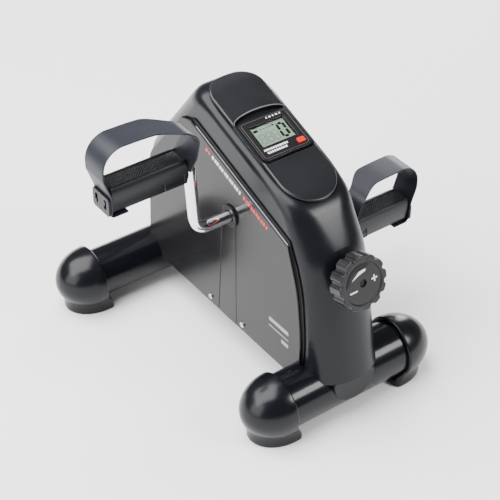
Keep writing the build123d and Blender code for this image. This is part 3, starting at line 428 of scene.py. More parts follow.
def make_shell(side_name, side):
    """Half of the housing, from the middle out to its rounded edge, open over the tubes and below."""
    steps = 10
    sections = [shell_section(None)] + [shell_section(i * pi / 2 / steps) for i in range(steps + 1)]
    bm = bmesh.new()
    loops = [closed_edges(bm, section) for section in sections]
    for near, far in zip(loops, loops[1:]):
        bmesh.ops.bridge_loops(bm, edges=near + far)
    bmesh.ops.edgeloop_fill(bm, edges=loops[-1])
    cuts = (
        ((0, 0, NECK_FOOT[1]), (0, 0, 1)),
        ((0, FRONT_TUBE_Y, 0), (0, 1, 0)),
        ((0, REAR_TUBE_Y, 0), (0, 1, 0)),
    )
    for point, direction in cuts:
        geometry = bm.verts[:] + bm.edges[:] + bm.faces[:]
        bmesh.ops.bisect_plane(bm, geom=geometry, plane_co=point, plane_no=direction)
    waste = []
    for face in bm.faces:
        middle = face.calc_center_median()
        beyond_tubes = middle.z < NECK_FOOT[1] and not FRONT_TUBE_Y < middle.y < REAR_TUBE_Y
        underside = abs(face.normal.z) > 0.99 and middle.z < SHELL_FOOT + 1
        if beyond_tubes or underside:
            waste.append(face)
    bmesh.ops.delete(bm, geom=waste, context="FACES")
    bmesh.ops.remove_doubles(bm, verts=bm.verts[:], dist=0.01)
    bmesh.ops.recalc_face_normals(bm, faces=bm.faces[:])
    flat = max(bm.faces, key=lambda face: face.calc_area())
    if flat.normal.x < 0:
        bmesh.ops.reverse_faces(bm, faces=bm.faces[:])
    moved(bm, Matrix.Diagonal((side, 1, 1, 1)))
    node = f"{side_name}_shell"
    name = f"{side_name}_housing_shell"
    shell = piece(name, bm, BODY_OF[node], shell_plastic, [node], sharp=30)
    wall = shell.modifiers.new("wall", "SOLIDIFY")
    wall.thickness = SHELL_WALL * MM
    wall.offset = -1
    shell.modifiers.move(1, 0)


for side_name, side in SIDES.items():
    make_shell(side_name, side)


# ---- side panels, slot covers, grooves and marks ----
def along_seam(distance, drop=0.0):
    """Point on the panel's top seam, a distance back from its front end, moved down by drop."""
    run = (Vector(SEAM_REAR) - Vector(SEAM_FRONT)).normalized()
    spot = Vector(SEAM_FRONT) + run * distance + Vector((run.y, -run.x)) * drop
    return spot.x, spot.y


seam_length = (Vector(SEAM_REAR) - Vector(SEAM_FRONT)).length
front_curve = smooth_line([SEAM_FRONT, *PANEL_FRONT_CURVE, (PANEL_FRONT_CURVE[-1][0] + 1, SHELL_FOOT)])
SLOT_GAP = 0.25
SLOT_ARCH_R = 10.5
SLOT_ARCH_DROP = 4.0
SLOT_CORNERS = [(-22.5, AXLE.z), (0.5, AXLE.z), (11.0, SHELL_FOOT), (-22.5, SHELL_FOOT)]
SCREW_PLACES = [(-35.0, 50.0), (26.0, 50.0)]
GROOVE_WIDTH = 8.0
GROOVE_FOOT = 62
BADGE_START = -118.0
# length, height and foot of each bar of the badge
BADGE_BARS = ((34.0, 5.0, 92.0), (34.0, 1.4, 84.5), (12.0, 5.0, 74.5))


def panel_outline():
    """Outline of a side panel, from its rear foot up, along the seam and down its front edge."""
    inset = 16.0
    rear = rounded_line(
        [
            (REAR_FOOT[0] - inset, SHELL_FOOT),
            (REAR_SHOULDER[0] - inset, REAR_SHOULDER[1] - 6),
            (REAR_TOP[0] + 15, REAR_TOP[1] - 47),
            SEAM_REAR,
            SEAM_FRONT,
        ],
        [40.0, 10.0, 10.0],
        run_step=60.0,
    )
    return [tuple(spot) for spot in rear[:-1]] + [tuple(spot) for spot in front_curve]


def make_panel(side_name, side):
    """Glossy side panel with a notch up to the axle, and the strip that closes the notch."""
    node = f"{side_name}_panel"
    shoulder = AXLE.z - SLOT_ARCH_DROP
    turns = [pi - i * pi / 12 for i in range(13)]
    arch = [(AXLE.y + SLOT_ARCH_R * cos(a), AXLE.z + SLOT_ARCH_R * sin(a)) for a in turns]
    notch = [
        (SLOT_CORNERS[3][0] - SLOT_GAP, SHELL_FOOT),
        (SLOT_CORNERS[0][0] - SLOT_GAP, shoulder),
        *arch,
        (SLOT_CORNERS[1][0] + SLOT_GAP, shoulder),
        (SLOT_CORNERS[2][0] + SLOT_GAP, SHELL_FOOT),
    ]
    outline = panel_outline() + notch
    bm = moved(plate(outline, PANEL_T, edge=0.9, segments=3), on_side(side, SHELL_HALF))
    piece(f"{side_name}_side_panel", bm, BODY_OF[node], panel_plastic, [node])

    node = f"{side_name}_slot_cover"
    cover = [
        (SLOT_CORNERS[3][0] + SLOT_GAP, SHELL_FOOT),
        (SLOT_CORNERS[2][0] - SLOT_GAP, SHELL_FOOT),
        (SLOT_CORNERS[1][0] - SLOT_GAP, shoulder),
        *reversed(arch[1:-1]),
        (SLOT_CORNERS[0][0] + SLOT_GAP, shoulder),
    ]
    bm = moved(plate(cover, PANEL_T - 0.15, edge=0.35, segments=2), on_side(side, SHELL_HALF))
    piece(f"{side_name}_slot_strip", bm, BODY_OF[node], panel_plastic, [node])


def make_groove(side_name, side):
    """Channel above the panel and down its front edge, its near-black colour painted shade of the recess, with a
    grey painted highlight line in it.
    """
    node = f"{side_name}_trim"
    top = [
        along_seam(seam_length - 8, -0.6),
        along_seam(seam_length - 2, -GROOVE_WIDTH / 2),
        along_seam(seam_length - 8, -GROOVE_WIDTH),
    ]
    outer_front = [
        (y - GROOVE_WIDTH * 0.95 * (1 - 0.55 * i / len(front_curve)), z)
        for i, (y, z) in enumerate(front_curve)
    ]
    inner_front = [(y - 0.4, z) for y, z in front_curve]
    low = [spot for spot in outer_front[3:] if spot[1] > GROOVE_FOOT]
    inner = [spot for spot in inner_front if spot[1] > GROOVE_FOOT]
    outline = top + [along_seam(2, -GROOVE_WIDTH)] + low + inner[::-1]
    bm = plate(outline, 1.4, edge=0.5, segments=2)
    lid = max((face for face in bm.faces if face.normal.z > 0.9), key=lambda face: face.calc_area())
    bmesh.ops.inset_region(bm, faces=[lid], thickness=0.9, depth=-0.7, use_even_offset=True)
    moved(bm, on_side(side, SHELL_HALF))
    # the groove's near-black colour is painted shade of the recess
    piece(f"{side_name}_groove", bm, BODY_OF[node], groove_painted_shade, [node])
    # thin grey strip along the groove: a painted highlight of the panel's top edge
    line = [
        along_seam(seam_length - 12, -0.9), along_seam(seam_length - 12, -1.4),
        along_seam(3, -1.4), along_seam(3, -0.9),
    ]
    bm = moved(plate(line, 1.9, edge=0.2, segments=1), on_side(side, SHELL_HALF))
    piece(f"{side_name}_groove_painted_highlight", bm, BODY_OF[node], grey_print_and_painted_highlight)


def slanted_bar(start, length, drop, height):
    """Corners of a thin printed bar that runs along the seam."""
    return [
        along_seam(start, drop), along_seam(start + length, drop),
        along_seam(start + length, drop + height), along_seam(start, drop + height),
    ]


def make_marks(side_name, side):
    """Printed scale under the groove: red, white and red dashes, and a plain badge of bars."""
    pitch = 4.6
    scale = (
        ("rear_red", 142.0, 2, red_ink),
        ("white", 84.0, 12, white_ink),
        ("front_red", 34.0, 10, red_ink),
    )
    for label, start, count, ink in scale:
        bm = bmesh.new()
        for i in range(count):
            bar = slanted_bar(start + i * pitch, pitch * (0.62 + 0.2 * (i % 2)), 5.8, 4.6)
            join(bm, plate(bar, INK_T))
        moved(bm, on_side(side, SHELL_HALF + PANEL_T))
        piece(f"{side_name}_scale_{label}", bm, BODY_OF[f"{side_name}_panel"], ink)
    bm = bmesh.new()
    for length, height, up in BADGE_BARS:
        end = BADGE_START + length
        corners = [(BADGE_START, up), (end, up), (end, up + height), (BADGE_START, up + height)]
        join(bm, plate(corners, INK_T))
    moved(bm, on_side(side, SHELL_HALF + PANEL_T))
    piece(f"{side_name}_badge_bars", bm, BODY_OF[f"{side_name}_panel"], grey_print_and_painted_highlight)


def make_screws(side_name, side):
    """Pan-head screws with a cross recess."""
    node = f"{side_name}_panel_screws"
    arm, half = 2.0, 0.42
    cross = [
        (arm, -half), (arm, half), (half, half), (half, arm), (-half, arm), (-half, half),
        (-arm, half), (-arm, -half), (-half, -half), (-half, -arm), (half, -arm), (half, -half),
    ]
    bm = bmesh.new()
    for y, z in SCREW_PLACES:
        head = plate(circle(3.3, 32), 0.7)
        crown = plate(circle(3.3, 32), 0.9, holes=[cross], edge=0.3, segments=2)
        join(head, moved(crown, Matrix.Translation((0, 0, 0.7))))
        join(bm, moved(head, on_side(side, SHELL_HALF + PANEL_T) @ Matrix.Translation((y, z, 0))))
    piece(f"{side_name}_side_screws", bm, BODY_OF[node], zinc, [node])


for side_name, side in SIDES.items():
    make_panel(side_name, side)
    make_groove(side_name, side)
    make_marks(side_name, side)
    make_screws(side_name, side)


# ---- top pad, bent over the deck ----
def profile_lengths():
    """Running length along the profile, zero on the deck at the counter's middle."""
    lengths = [0.0]
    for before, after in zip(profile, profile[1:]):
        lengths.append(lengths[-1] + (after - before).length)
    for i, (before, after) in enumerate(zip(profile, profile[1:])):
        if before.x >= CASE_Y > after.x and after.y > 200:
            share = (before.x - CASE_Y) / (before.x - after.x)
            zero = lengths[i] + share * (lengths[i + 1] - lengths[i])
    return [zero - length for length in lengths]


lengths = profile_lengths()


def over_deck(x, along, rise):
    """Point of the bent pad: along is the distance up the profile, rise is off the deck."""
    for i in range(len(lengths) - 1):
        if lengths[i] >= along >= lengths[i + 1]:
            share = (lengths[i] - along) / (lengths[i] - lengths[i + 1])
            spot = profile[i].lerp(profile[i + 1], share)
            normal = normals[i].lerp(normals[i + 1], share).normalized()
            return Vector((x, spot.x + normal.x * rise, spot.y + normal.y * rise))
    raise ValueError(along)


PAD_HALF = 33.0
PAD_UP = 93.0
PAD_DOWN = -89.0
PAD_STEP = 6


def pad_outline():
    """Long pad with a rounded upper end and a fuller lower end."""
    points = []
    for depth, end, start in ((26.0, PAD_UP, 0.0), (34.0, PAD_DOWN, pi)):
        sign = 1 if end > 0 else -1
        for i in range(25):
            angle = start + i * pi / 24
            points.append((PAD_HALF * cos(angle), end - sign * depth + depth * sin(angle)))
    return points


def counter_pocket():
    """Opening for the counter, with an arched finger recess behind it."""
    half_w, half_l = CASE_SIZE[0] / 2 + 0.7, CASE_SIZE[1] / 2 + 0.7
    low = [point for point in rounded_rectangle(2 * half_w, 2 * half_l, 5.0) if point[1] < 0]
    arch = [(half_w * cos(a), half_l + 9.0 * sin(a)) for a in (i * pi / 20 for i in range(21))]
    return arch + low


def make_pad():
    """Pad cut from a flat plate, sliced across so that it bends over the deck, and a painted highlight along its
    recess rim.
    """
    bm = plate(pad_outline(), PAD_T, holes=[counter_pocket()], edge=1.9, segments=4)
    spot = PAD_DOWN + 4
    while spot < PAD_UP:
        geometry = bm.verts[:] + bm.edges[:] + bm.faces[:]
        bmesh.ops.bisect_plane(bm, geom=geometry, plane_co=(0, spot, 0), plane_no=(0, 1, 0))
        spot += PAD_STEP
    for vert in bm.verts:
        vert.co = over_deck(*vert.co)
    # thin pale arc round the finger recess: a painted highlight of the recess rim
    half_w, half_l = CASE_SIZE[0] / 2 + 1.0, CASE_SIZE[1] / 2 + 1.0
    arc = [(half_w * cos(a), half_l + 9.2 * sin(a)) for a in (i * pi / 24 for i in range(25))]
    back_turns = [pi - i * pi / 24 for i in range(25)]
    arc += [((half_w + 0.9) * cos(a), half_l + 10.6 * sin(a)) for a in back_turns]
    rim = moved(plate(arc, 0.3, edge=0.1, segments=1), on_deck(PAD_T - 0.1))
    piece("recess_rim_painted_highlight", rim, BODY_OF["top_pad"], dim_painted_highlight)
    piece("deck_pad", bm, BODY_OF["top_pad"], pad_plastic, ["top_pad"], sharp=30)


make_pad()


# ---- counter ----
LCD_CENTRE = (0.0, 3.6)
LCD_WINDOW = (44.0, 28.0)
LCD_GLASS = (41.0, 25.6)
BUTTON_PLACE = (20.5, -18.0)
BUTTON_SIZE = (9.0, 6.5)
CASE_DEPTH = 16.0


def make_counter():
    """Counter case with a painted highlight of its outline groove, bezel, display and red button."""
    body = BODY_OF["counter_case"]
    button_gap = rounded_rectangle(BUTTON_SIZE[0] + 0.8, BUTTON_SIZE[1] + 0.8, 1.6, BUTTON_PLACE)
    window = rounded_rectangle(*LCD_WINDOW, 1.0, LCD_CENTRE)
    outline = rounded_rectangle(*CASE_SIZE, 5.0)
    bm = plate(outline, CASE_DEPTH, holes=[window, button_gap], edge=1.0, segments=3)
    moved(bm, on_deck(CASE_FACE - CASE_DEPTH))
    piece("counter_body", bm, body, case_plastic, ["counter_case"])

    # thin grey ring on the case face: a painted highlight of the outline groove
    outline = rounded_rectangle(CASE_SIZE[0] - 5, CASE_SIZE[1] - 5, 3.5)
    inner = rounded_rectangle(CASE_SIZE[0] - 5.7, CASE_SIZE[1] - 5.7, 3.2)
    bm = moved(plate(outline, 0.35, holes=[inner], edge=0.12, segments=1), on_deck(CASE_FACE - 0.05))
    piece("counter_outline_painted_highlight", bm, body, dim_painted_highlight)

    glass = rounded_rectangle(*LCD_GLASS, 0.8, LCD_CENTRE)
    bm = moved(plate(window, 1.4, holes=[glass], edge=0.5, segments=2), on_deck(CASE_FACE - 2.6))
    piece("counter_bezel", bm, body, black_plastic)

    bm = plate(rounded_rectangle(*LCD_WINDOW, 0.8, LCD_CENTRE), 1.2, edge=0.2, segments=1)
    moved(bm, on_deck(CASE_FACE - 4.0))
    piece("counter_display", bm, body, display_green, ["display_cell"])

    bm = plate(rounded_rectangle(*BUTTON_SIZE, 1.4, BUTTON_PLACE), 5.8, edge=0.7)
    moved(bm, on_deck(CASE_FACE - 4.4))
    piece("red_button", bm, BODY_OF["mode_button"], red_plastic, ["mode_button"])


def digit(centre, size, lit, thick):
    """Seven-segment digit with the lit segments as thin bars."""
    width, height = size
    bars = {
        "top": (0, height / 2, width - thick, thick), "middle": (0, 0, width - thick, thick),
        "bottom": (0, -height / 2, width - thick, thick),
        "upper_left": (-width / 2, height / 4, thick, height / 2 - thick * 0.4),
        "upper_right": (width / 2, height / 4, thick, height / 2 - thick * 0.4),
        "lower_left": (-width / 2, -height / 4, thick, height / 2 - thick * 0.4),
        "lower_right": (width / 2, -height / 4, thick, height / 2 - thick * 0.4),
    }
    bm = bmesh.new()
    for name in lit:
        x, y, wide, tall = bars[name]
        middle = (centre[0] + x + 0.08 * y, centre[1] + y)
        corners = rounded_rectangle(wide, tall, min(wide, tall) * 0.3, middle, steps=2)
        join(bm, plate(corners, 0.1))
    return bm


def make_digits():
    """Faint unlit segments and the dark lit ones, just above the display."""
    every = ("top", "middle", "bottom", "upper_left", "upper_right", "lower_left", "lower_right")
    zero = tuple(name for name in every if name != "middle")
    rise = CASE_FACE - 2.78
    ghosts = bmesh.new()
    for x in (-13.6, -5.6, 2.4):
        join(ghosts, digit((x, LCD_CENTRE[1] - 3.0), (5.6, 12.0), every, 1.3))
    for i in range(6):
        mark = rounded_rectangle(3.0, 1.8, 0.3, (-9.5 + i * 3.9, LCD_CENTRE[1] + 8.9), steps=2)
        join(ghosts, plate(mark, 0.1))
    piece("display_ghosts", moved(ghosts, on_deck(rise)), "frame", ghost_digit)
    dark = digit((13.0, LCD_CENTRE[1] - 0.6), (7.4, 17.0), zero, 3.0)
    join(dark, plate(rounded_rectangle(5.6, 3.0, 0.4, (-16.0, LCD_CENTRE[1] + 8.6), steps=2), 0.1))
    join(dark, plate(rounded_rectangle(2.0, 1.9, 0.4, (6.2, LCD_CENTRE[1] + 9.6), steps=2), 0.1))
    piece("display_digits", moved(dark, on_deck(rise + 0.02)), "frame", dark_digit)


def make_counter_print():
    """Rows of plain white bars on the counter's face."""
    bm = bmesh.new()
    for i in range(5):
        join(bm, plate(rounded_rectangle(1.5 + (i % 2), 1.7, 0.3, (3.5 + i * 4.2, 21.6), steps=2), INK_T))
    for row, (y, start, count) in enumerate(((-14.4, -22.5, 11), (-18.4, -20.5, 9))):
        for i in range(count):
            wide = 1.7 + 0.5 * ((i + row) % 2)
            join(bm, plate(rounded_rectangle(wide, 2.3, 0.3, (start + i * 2.75, y), steps=2), INK_T))
    piece("counter_print", moved(bm, on_deck(CASE_FACE)), "frame", white_ink)


make_counter()
make_digits()
make_counter_print()


# ---- end caps ----
CAP_R = 35.8
CAP_DOME = 46.5
CAP_LIP = 2.2
# height, inner end from the rim, and size of the foot as a share of the dome
FOOT_SECTIONS = [
    (0.0, -11.0, 0.80), (0.8, -12.0, 0.82), (5.0, -12.0, 0.82), (9.0, -10.0, 0.82),
    (13.0, -7.0, 0.83), (17.0, -3.0, 0.845), (20.0, -1.0, 0.86),
]
# name, place along Y, radius, and distance from the middle to the caps' rims
TUBES = (("front", FRONT_TUBE_Y, 31.0, 75.0), ("rear", REAR_TUBE_Y, 28.0, 123.5))


def make_cap(place_name, tube_y, tube_r, rim_x, side_name, side):
    """Domed cap with a rolled rim and a flat flared foot."""
    bm = bmesh.new()
    rolled = (pi / 8, pi / 4, 3 * pi / 8, pi / 2)
    outline = [(0.8, tube_r + 0.05), (0.0, tube_r + 1.2), (0.0, CAP_R - CAP_LIP)]
    outline += [(CAP_LIP - CAP_LIP * cos(a), CAP_R - CAP_LIP + CAP_LIP * sin(a)) for a in rolled]
    for i in range(1, 25):
        angle = pi / 2 * (1 - i / 24)
        outline.append((CAP_LIP + (CAP_DOME - CAP_LIP) * cos(angle), CAP_R * sin(angle)))
    verts = [bm.verts.new((x, r, 0.0)) for x, r in outline]
    edges = [bm.edges.new(pair) for pair in zip(verts, verts[1:])]
    bmesh.ops.spin(
        bm, geom=verts + edges, cent=(0, 0, 0), axis=(1, 0, 0), angle=2 * pi, steps=72,
        use_merge=True, use_duplicate=False,
    )
    bmesh.ops.remove_doubles(bm, verts=bm.verts[:], dist=0.02)
    bmesh.ops.holes_fill(bm, edges=[edge for edge in bm.edges if edge.is_boundary], sides=0)
    bmesh.ops.translate(bm, verts=bm.verts[:], vec=(0, 0, TUBE_Z))
    geometry = bm.verts[:] + bm.edges[:] + bm.faces[:]
    bmesh.ops.bisect_plane(bm, geom=geometry, plane_co=(0, 0, 0.4), plane_no=(0, 0, -1), clear_outer=True)
    bmesh.ops.holes_fill(bm, edges=[edge for edge in bm.edges if edge.is_boundary], sides=0)
    bmesh.ops.recalc_face_normals(bm, faces=bm.faces[:])
    sections = []
    for height, inner, share in FOOT_SECTIONS:
        outer, half = CAP_DOME * share, CAP_R * share
        foot = []
        for i in range(48):
            along, across = cos(i * pi / 24), sin(i * pi / 24)
            if along > -0.01:
                foot.append((outer * max(along, 0.0), half * across, height))
            else:
                squared = half * copysign(1, across) * abs(across) ** 0.4
                foot.append((inner * abs(along) ** 0.4, squared, height))
        sections.append(foot)
    join(bm, loft(sections))
    moved(bm, place((side, 0, 0), (0, 1, 0), (0, 0, 1), (side * rim_x, tube_y, 0)))
    node = f"{place_name}_{side_name}_cap"
    name = f"{place_name}_{side_name}_foot_cap"
    piece(name, bm, BODY_OF[node], cap_rubber, [node], sharp=50)


for place_name, tube_y, tube_r, rim_x in TUBES:
    for side_name, side in SIDES.items():
        make_cap(place_name, tube_y, tube_r, rim_x, side_name, side)


# ---- saddle under the neck ----
def make_saddle():
    """Tongue that carries the neck down the front of the tube."""
    half = [(27.0, 56.5), (26.4, 48.0), (23.5, 39.0), (16.0, 30.0)]
    outline = smooth_line([(-x, z) for x, z in half] + [(0.0, 26.5)] + half[::-1])
    bm = plate([tuple(spot) for spot in outline], 11.5, edge=3.0, segments=5)
    for vert in bm.verts:
        if vert.co.z > 5:
            vert.co.z += -0.0042 * vert.co.x**2 - 0.05 * (56 - vert.co.y)
    moved(bm, place((1, 0, 0), (0, 0, 1), (0, -1, 0), (0, -168.6, 0)))
    node = "neck_saddle"
    piece("neck_tongue", bm, BODY_OF[node], shell_plastic, [node], sharp=60)


make_saddle()


# ---- pedals and straps ----
PEDAL_IN = 98.6
PEDAL_OUT = 188.0
PEDAL_BORE_R = 9.0
POCKET_PLACE = (17.0, -3.0)
PEDAL_SECTION = [
    (-14.3, 8.0), (-14.5, 2.0), (-13.2, -7.0), (-11.5, -13.5), (-7.5, -16.0), (8.0, -16.0),
    (12.4, -12.5), (14.2, -4.0), (14.5, 8.0), (13.6, 14.4), (11.6, 16.0), (10.0, 16.0),
    (9.6, 14.8), (-9.4, 14.8), (-9.8, 16.0), (-11.6, 15.6), (-13.4, 12.8),
]


def knurled_tread(length, depth, pitch=2.3, height=0.75):
    """Diamond tread: a turned grid, trimmed to the tread, with each cell raised to a point."""
    bm = bmesh.new()
    cells = int(1.5 * length / pitch)
    bmesh.ops.create_grid(bm, x_segments=cells, y_segments=cells, size=cells * pitch / 2)
    bmesh.ops.rotate(bm, cent=(0, 0, 0), matrix=Matrix.Rotation(pi / 4, 3, "Z"), verts=bm.verts[:])
    far = []
    for face in bm.faces:
        middle = face.calc_center_median()
        if abs(middle.x) > length / 2 + pitch or abs(middle.y) > depth / 2 + pitch:
            far.append(face)
    bmesh.ops.delete(bm, geom=far, context="FACES")
    cuts = (
        ((length / 2, 0, 0), (1, 0, 0)),
        ((-length / 2, 0, 0), (-1, 0, 0)),
        ((0, depth / 2, 0), (0, 1, 0)),
        ((0, -depth / 2, 0), (0, -1, 0)),
    )
    bmesh.ops.poke(bm, faces=bm.faces[:], offset=height)
    for point, direction in cuts:
        geometry = bm.verts[:] + bm.edges[:] + bm.faces[:]
        bmesh.ops.bisect_plane(bm, geom=geometry, plane_co=point, plane_no=direction, clear_outer=True)
    return bm


def make_pedal(side_name, side):
    """Pedal body with its bore, knurled tread, edge ribs and the pocket on its front."""
    node = f"{side_name}_pedal"
    spindle = joint_place(f"{side_name}_pedal_spin")
    length = PEDAL_OUT - PEDAL_IN
    bore = circle(PEDAL_BORE_R, 40)
    bm = plate(PEDAL_SECTION, length, holes=[bore], edge=1.3, segments=3, least=radians(24))
    moved(bm, on_side(side, PEDAL_IN))
    tread = knurled_tread(length - 6, 18.4)
    moved(tread, Matrix.Translation((side * (PEDAL_IN + length / 2), 0, 14.75)))
    join(bm, tread)
    for low, high in ((-13.6, -12.4), (12.2, 13.4)):
        strip = rounded_rectangle(length - 8, 1.2, 0.5, (length / 2, (low + high) / 2))
        rib = plate(strip, 1.2, edge=0.4, segments=2)
        moved(rib, place((side, 0, 0), (0, 1, 0), (0, 0, 1), (side * PEDAL_IN, 0, 14.2)))
        join(bm, rib)
    pocket_rim = rounded_rectangle(25.0, 15.0, 2.5, POCKET_PLACE)
    pocket_hole = rounded_rectangle(21.5, 11.5, 1.6, POCKET_PLACE)
    pocket = plate(pocket_rim, 1.2, holes=[pocket_hole], edge=0.5, segments=2)
    moved(pocket, place((side, 0, 0), (0, 0.12, 0.99), (0, -0.99, 0.12), (side * PEDAL_IN, -13.5, 0)))
    join(bm, pocket)
    moved(bm, Matrix.Translation((0, spindle.y, spindle.z)))
    piece(f"{side_name}_pedal_body", bm, BODY_OF[node], pedal_plastic, [node])


STRAP_T = 2.2
STRAP_HALF = 17.0
# distance from the middle, and height over the spindle
STRAP_LINE = [
    (97.4, 2.0), (97.4, 58.6), (150.0, 62.5), (197.0, 63.5),
    (197.0, 30.0), (189.3, 8.0), (189.3, -17.3), (170.0, -17.3),
]
STRAP_RADII = [16.0, 200.0, 24.0, 14.0, 14.0, 4.0]
# height over the spindle, and front and back edge of the strap's inner leg there
LEG_EDGES = [
    (2.0, -17.0, 15.0), (12.0, -22.0, 15.0), (24.0, -29.0, 8.0), (40.0, -33.0, -1.5), (62.0, -36.5, -12.0),
]
BUCKLE_X = 190.35


def strap_section(spot, across, front, back, thick):
    """Flat section of a strap with rounded edges at one place along it."""
    half = thick / 2
    edge = half * 0.8
    corners = (
        (front + edge, half), (back - edge, half), (back, half - edge), (back, edge - half),
        (back - edge, -half), (front + edge, -half), (front, edge - half), (front, half - edge),
    )
    return [(spot.x + across.x * off, y, spot.y + across.y * off) for y, off in corners]


def strap_edges(spot):
    """Front and back edge of the strap where its line passes a spot: it runs aslant over the foot."""
    tail = smooth_step((-6 - spot.y) / 10)
    outer_front, outer_back = -STRAP_HALF + 3.0 * tail, STRAP_HALF - 3.0 * tail
    height = min(max(spot.y, LEG_EDGES[0][0]), LEG_EDGES[-1][0])
    for low, high in zip(LEG_EDGES, LEG_EDGES[1:]):
        if low[0] <= height <= high[0]:
            share = (height - low[0]) / (high[0] - low[0])
            leg_front = low[1] + share * (high[1] - low[1])
            leg_back = low[2] + share * (high[2] - low[2])
    outward = smooth_step((spot.x - 94) / 44)
    return leg_front + outward * (outer_front - leg_front), leg_back + outward * (outer_back - leg_back)


def make_strap(side_name, side):
    """Strap over the foot, and the buckle plate on the pedal's outer end."""
    node = f"{side_name}_strap"
    body = BODY_OF[node]
    spindle = joint_place(f"{side_name}_pedal_spin")
    line = rounded_line(STRAP_LINE, STRAP_RADII, turn_step=radians(7), run_step=5.0)
    sections = []
    total = len(line) - 1
    for i, spot in enumerate(line):
        run = (line[min(i + 1, total)] - line[max(i - 1, 0)]).normalized()
        across = Vector((-run.y, run.x))
        front, back = strap_edges(spot)
        sections.append(strap_section(spot, across, front, back, STRAP_T))
    bm = loft(sections)
    moved(bm, Matrix.Translation((0, spindle.y, spindle.z)) @ Matrix.Diagonal((side, 1, 1, 1)))
    piece(f"{side_name}_strap_band", bm, body, strap_rubber, [node], sharp=50)

    slots = [rounded_rectangle(4.2, 11.0, 2.0, (y, -3.0)) for y in (-8.0, 8.0)]
    bm = plate(rounded_rectangle(31.0, 22.0, 4.0, (0, -4.0)), 2.6, holes=slots, edge=0.8, segments=3)
    for stud_place in ((-8.0, -1.0), (8.0, -6.0)):
        join(bm, plate(rounded_rectangle(3.0, 5.0, 1.2, stud_place), 3.4, edge=0.7, segments=3))
    moved(bm, Matrix.Translation((0, spindle.y, spindle.z)) @ on_side(side, BUCKLE_X))
    node = f"{side_name}_strap_plate"
    piece(f"{side_name}_buckle", bm, body, black_plastic, [node])


for side_name, side in SIDES.items():
    make_pedal(side_name, side)
    make_strap(side_name, side)


# ---- tension knob ----
KNOB_BACK = 9.0
KNOB_T = 18.0
KNOB_LOBES = 12
KNOB_VALLEY_R = 26.9
KNOB_LOBE_RISE = 3.0
KNOB_FACE_R = 23.0


def make_knob():
    """Lobed knob with a sunk face, hub plug, crescent and plain plus, minus and wedge marks."""
    at = joint_place("knob_turn")
    out = Vector(joints["knob_turn"]["axis"]).normalized()
    along = Vector((1, 0, 0))
    up = out.cross(along)
    front = KNOB_BACK + KNOB_T

    def at_rise(rise):
        return place(along, up, out, at + out * rise)

    body = BODY_OF["tension_knob"]
    outline = []
    for i in range(KNOB_LOBES * 12):
        angle = 2 * pi * i / (KNOB_LOBES * 12)
        swell = cos(KNOB_LOBES * angle)
        radius = KNOB_VALLEY_R + KNOB_LOBE_RISE * smooth_step((swell + 0.8) / 0.6)
        outline.append((radius * cos(angle), radius * sin(angle)))
    bm = plate(outline, KNOB_T, holes=[circle(KNOB_FACE_R, 60)], edge=1.1, segments=3)
    moved(bm, at_rise(KNOB_BACK))
    hub = plate(circle(KNOB_FACE_R + 0.05, 60), KNOB_T - 3.0, holes=[circle(4.2, 32)], edge=0.5, segments=2)
    join(bm, moved(hub, at_rise(KNOB_BACK + 2.0)))
    piece("brake_knob", bm, body, knob_plastic, ["tension_knob"])

    outer_turns = [radians(62) + i * radians(116) / 16 for i in range(17)]
    inner_turns = [radians(172) - i * radians(104) / 12 for i in range(13)]
    crescent = [(21.0 * cos(a), 21.0 * sin(a)) for a in outer_turns]
    crescent += [(-2.0 + 14.5 * cos(a), 2.5 + 13.0 * sin(a)) for a in inner_turns]
    bm = moved(plate(crescent, 0.5, edge=0.2, segments=2), at_rise(front - 1.1))
    piece("knob_crescent", bm, body, black_plastic)
    marks = bmesh.new()
    join(marks, plate([(-13.5, 7.0), (-3.5, 14.2), (4.8, 15.2), (4.4, 12.6), (-3.8, 10.6)], 0.3))
    join(marks, plate(rounded_rectangle(9.5, 1.6, 0.6, (-13.0, -5.5)), 0.3))
    join(marks, plate(rounded_rectangle(7.4, 1.6, 0.6, (14.2, 0.6)), 0.3))
    join(marks, plate(rounded_rectangle(1.6, 7.4, 0.6, (14.2, 0.6)), 0.3))
    bm = moved(plate(circle(4.15, 32), 0.6, edge=0.15, segments=1), at_rise(front - 3.4))
    piece("knob_hub_plug", bm, body, black_plastic)
    piece("knob_marks", moved(marks, at_rise(front - 0.9)), body, white_ink)


make_knob()


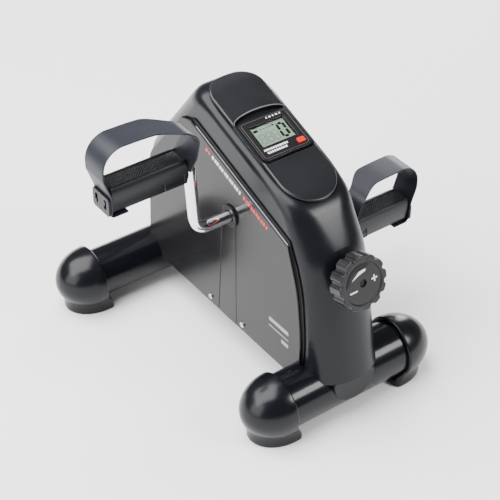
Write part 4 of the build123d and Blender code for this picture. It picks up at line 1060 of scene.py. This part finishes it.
# ---- covers and caps whose CAD shape is right, with their rims eased ----
def eased_copy(node, width):
    """Copy of a CAD node with rounded rims."""
    bm = bmesh.new()
    bm.from_mesh(frame["nodes"][node].data)
    bmesh.ops.scale(bm, vec=(1 / MM, 1 / MM, 1 / MM), verts=bm.verts[:])
    bmesh.ops.remove_doubles(bm, verts=bm.verts[:], dist=0.003)
    bmesh.ops.dissolve_limit(bm, angle_limit=radians(0.5), verts=[], edges=bm.edges[:])
    ease_edges(bm, width, segments=3, least=radians(50))
    bmesh.ops.recalc_face_normals(bm, faces=bm.faces[:])
    piece(f"{node}_eased", bm, BODY_OF[node], SLOT_FINISH[SLOT_OF[node]], [node])


for side_name in SIDES:
    eased_copy(f"{side_name}_axle_cover", 0.7)
    eased_copy(f"{side_name}_plate", 0.5)
eased_copy("knob_collar", 0.6)


# ---- finishes of the CAD nodes that stay ----
for node, obj in frame["nodes"].items():
    finish = SLOT_FINISH[SLOT_OF[node]]
    if not obj.material_slots:
        obj.data.materials.append(finish)
    for holder in obj.material_slots:
        holder.material = finish


# ---- floor and light ----
def make_floor():
    """Plain pale floor under the whole view."""
    bm = bmesh.new()
    bmesh.ops.create_grid(bm, x_segments=2, y_segments=2, size=6)
    mesh = bpy.data.meshes.new("floor")
    bm.to_mesh(mesh)
    bm.free()
    floor = bpy.data.objects.new("floor", mesh)
    bpy.context.scene.collection.objects.link(floor)
    mesh.materials.append(surface("floor_paper", (0.88, 0.88, 0.88), 0.7, mottle=0.005, grain_depth=0.0))


def area_light(name, spot, target, size, power):
    """Soft rectangular light at spot, turned to target (places in metres, power in watts)."""
    data = bpy.data.lights.new(name, "AREA")
    data.shape = "RECTANGLE"
    data.size, data.size_y = size
    data.energy = power
    lamp = bpy.data.objects.new(name, data)
    bpy.context.scene.collection.objects.link(lamp)
    lamp.location = spot
    lamp.rotation_euler = (Vector(target) - Vector(spot)).to_track_quat("-Z", "Y").to_euler()


def make_light():
    """Even white surroundings and four soft boxes."""
    world = bpy.data.worlds.new("studio")
    bpy.context.scene.world = world
    world.use_nodes = True
    world.node_tree.nodes["Background"].inputs["Color"].default_value = (1, 1, 1, 1)
    world.node_tree.nodes["Background"].inputs["Strength"].default_value = 0.24
    area_light("left_box", (-1.9, -0.1, 0.9), (0, 0, 0.15), (1.6, 1.4), 36)
    area_light("top_box", (-0.8, 0.5, 2.1), (0, 0, 0.1), (2.4, 2.4), 200)
    area_light("brow_box", (1.0, -1.45, 1.35), (0, 0, 0.2), (0.7, 0.7), 34)
    area_light("rear_rim", (1.5, 1.1, 0.7), (0, 0, 0.2), (0.7, 1.0), 30)


make_floor()
make_light()
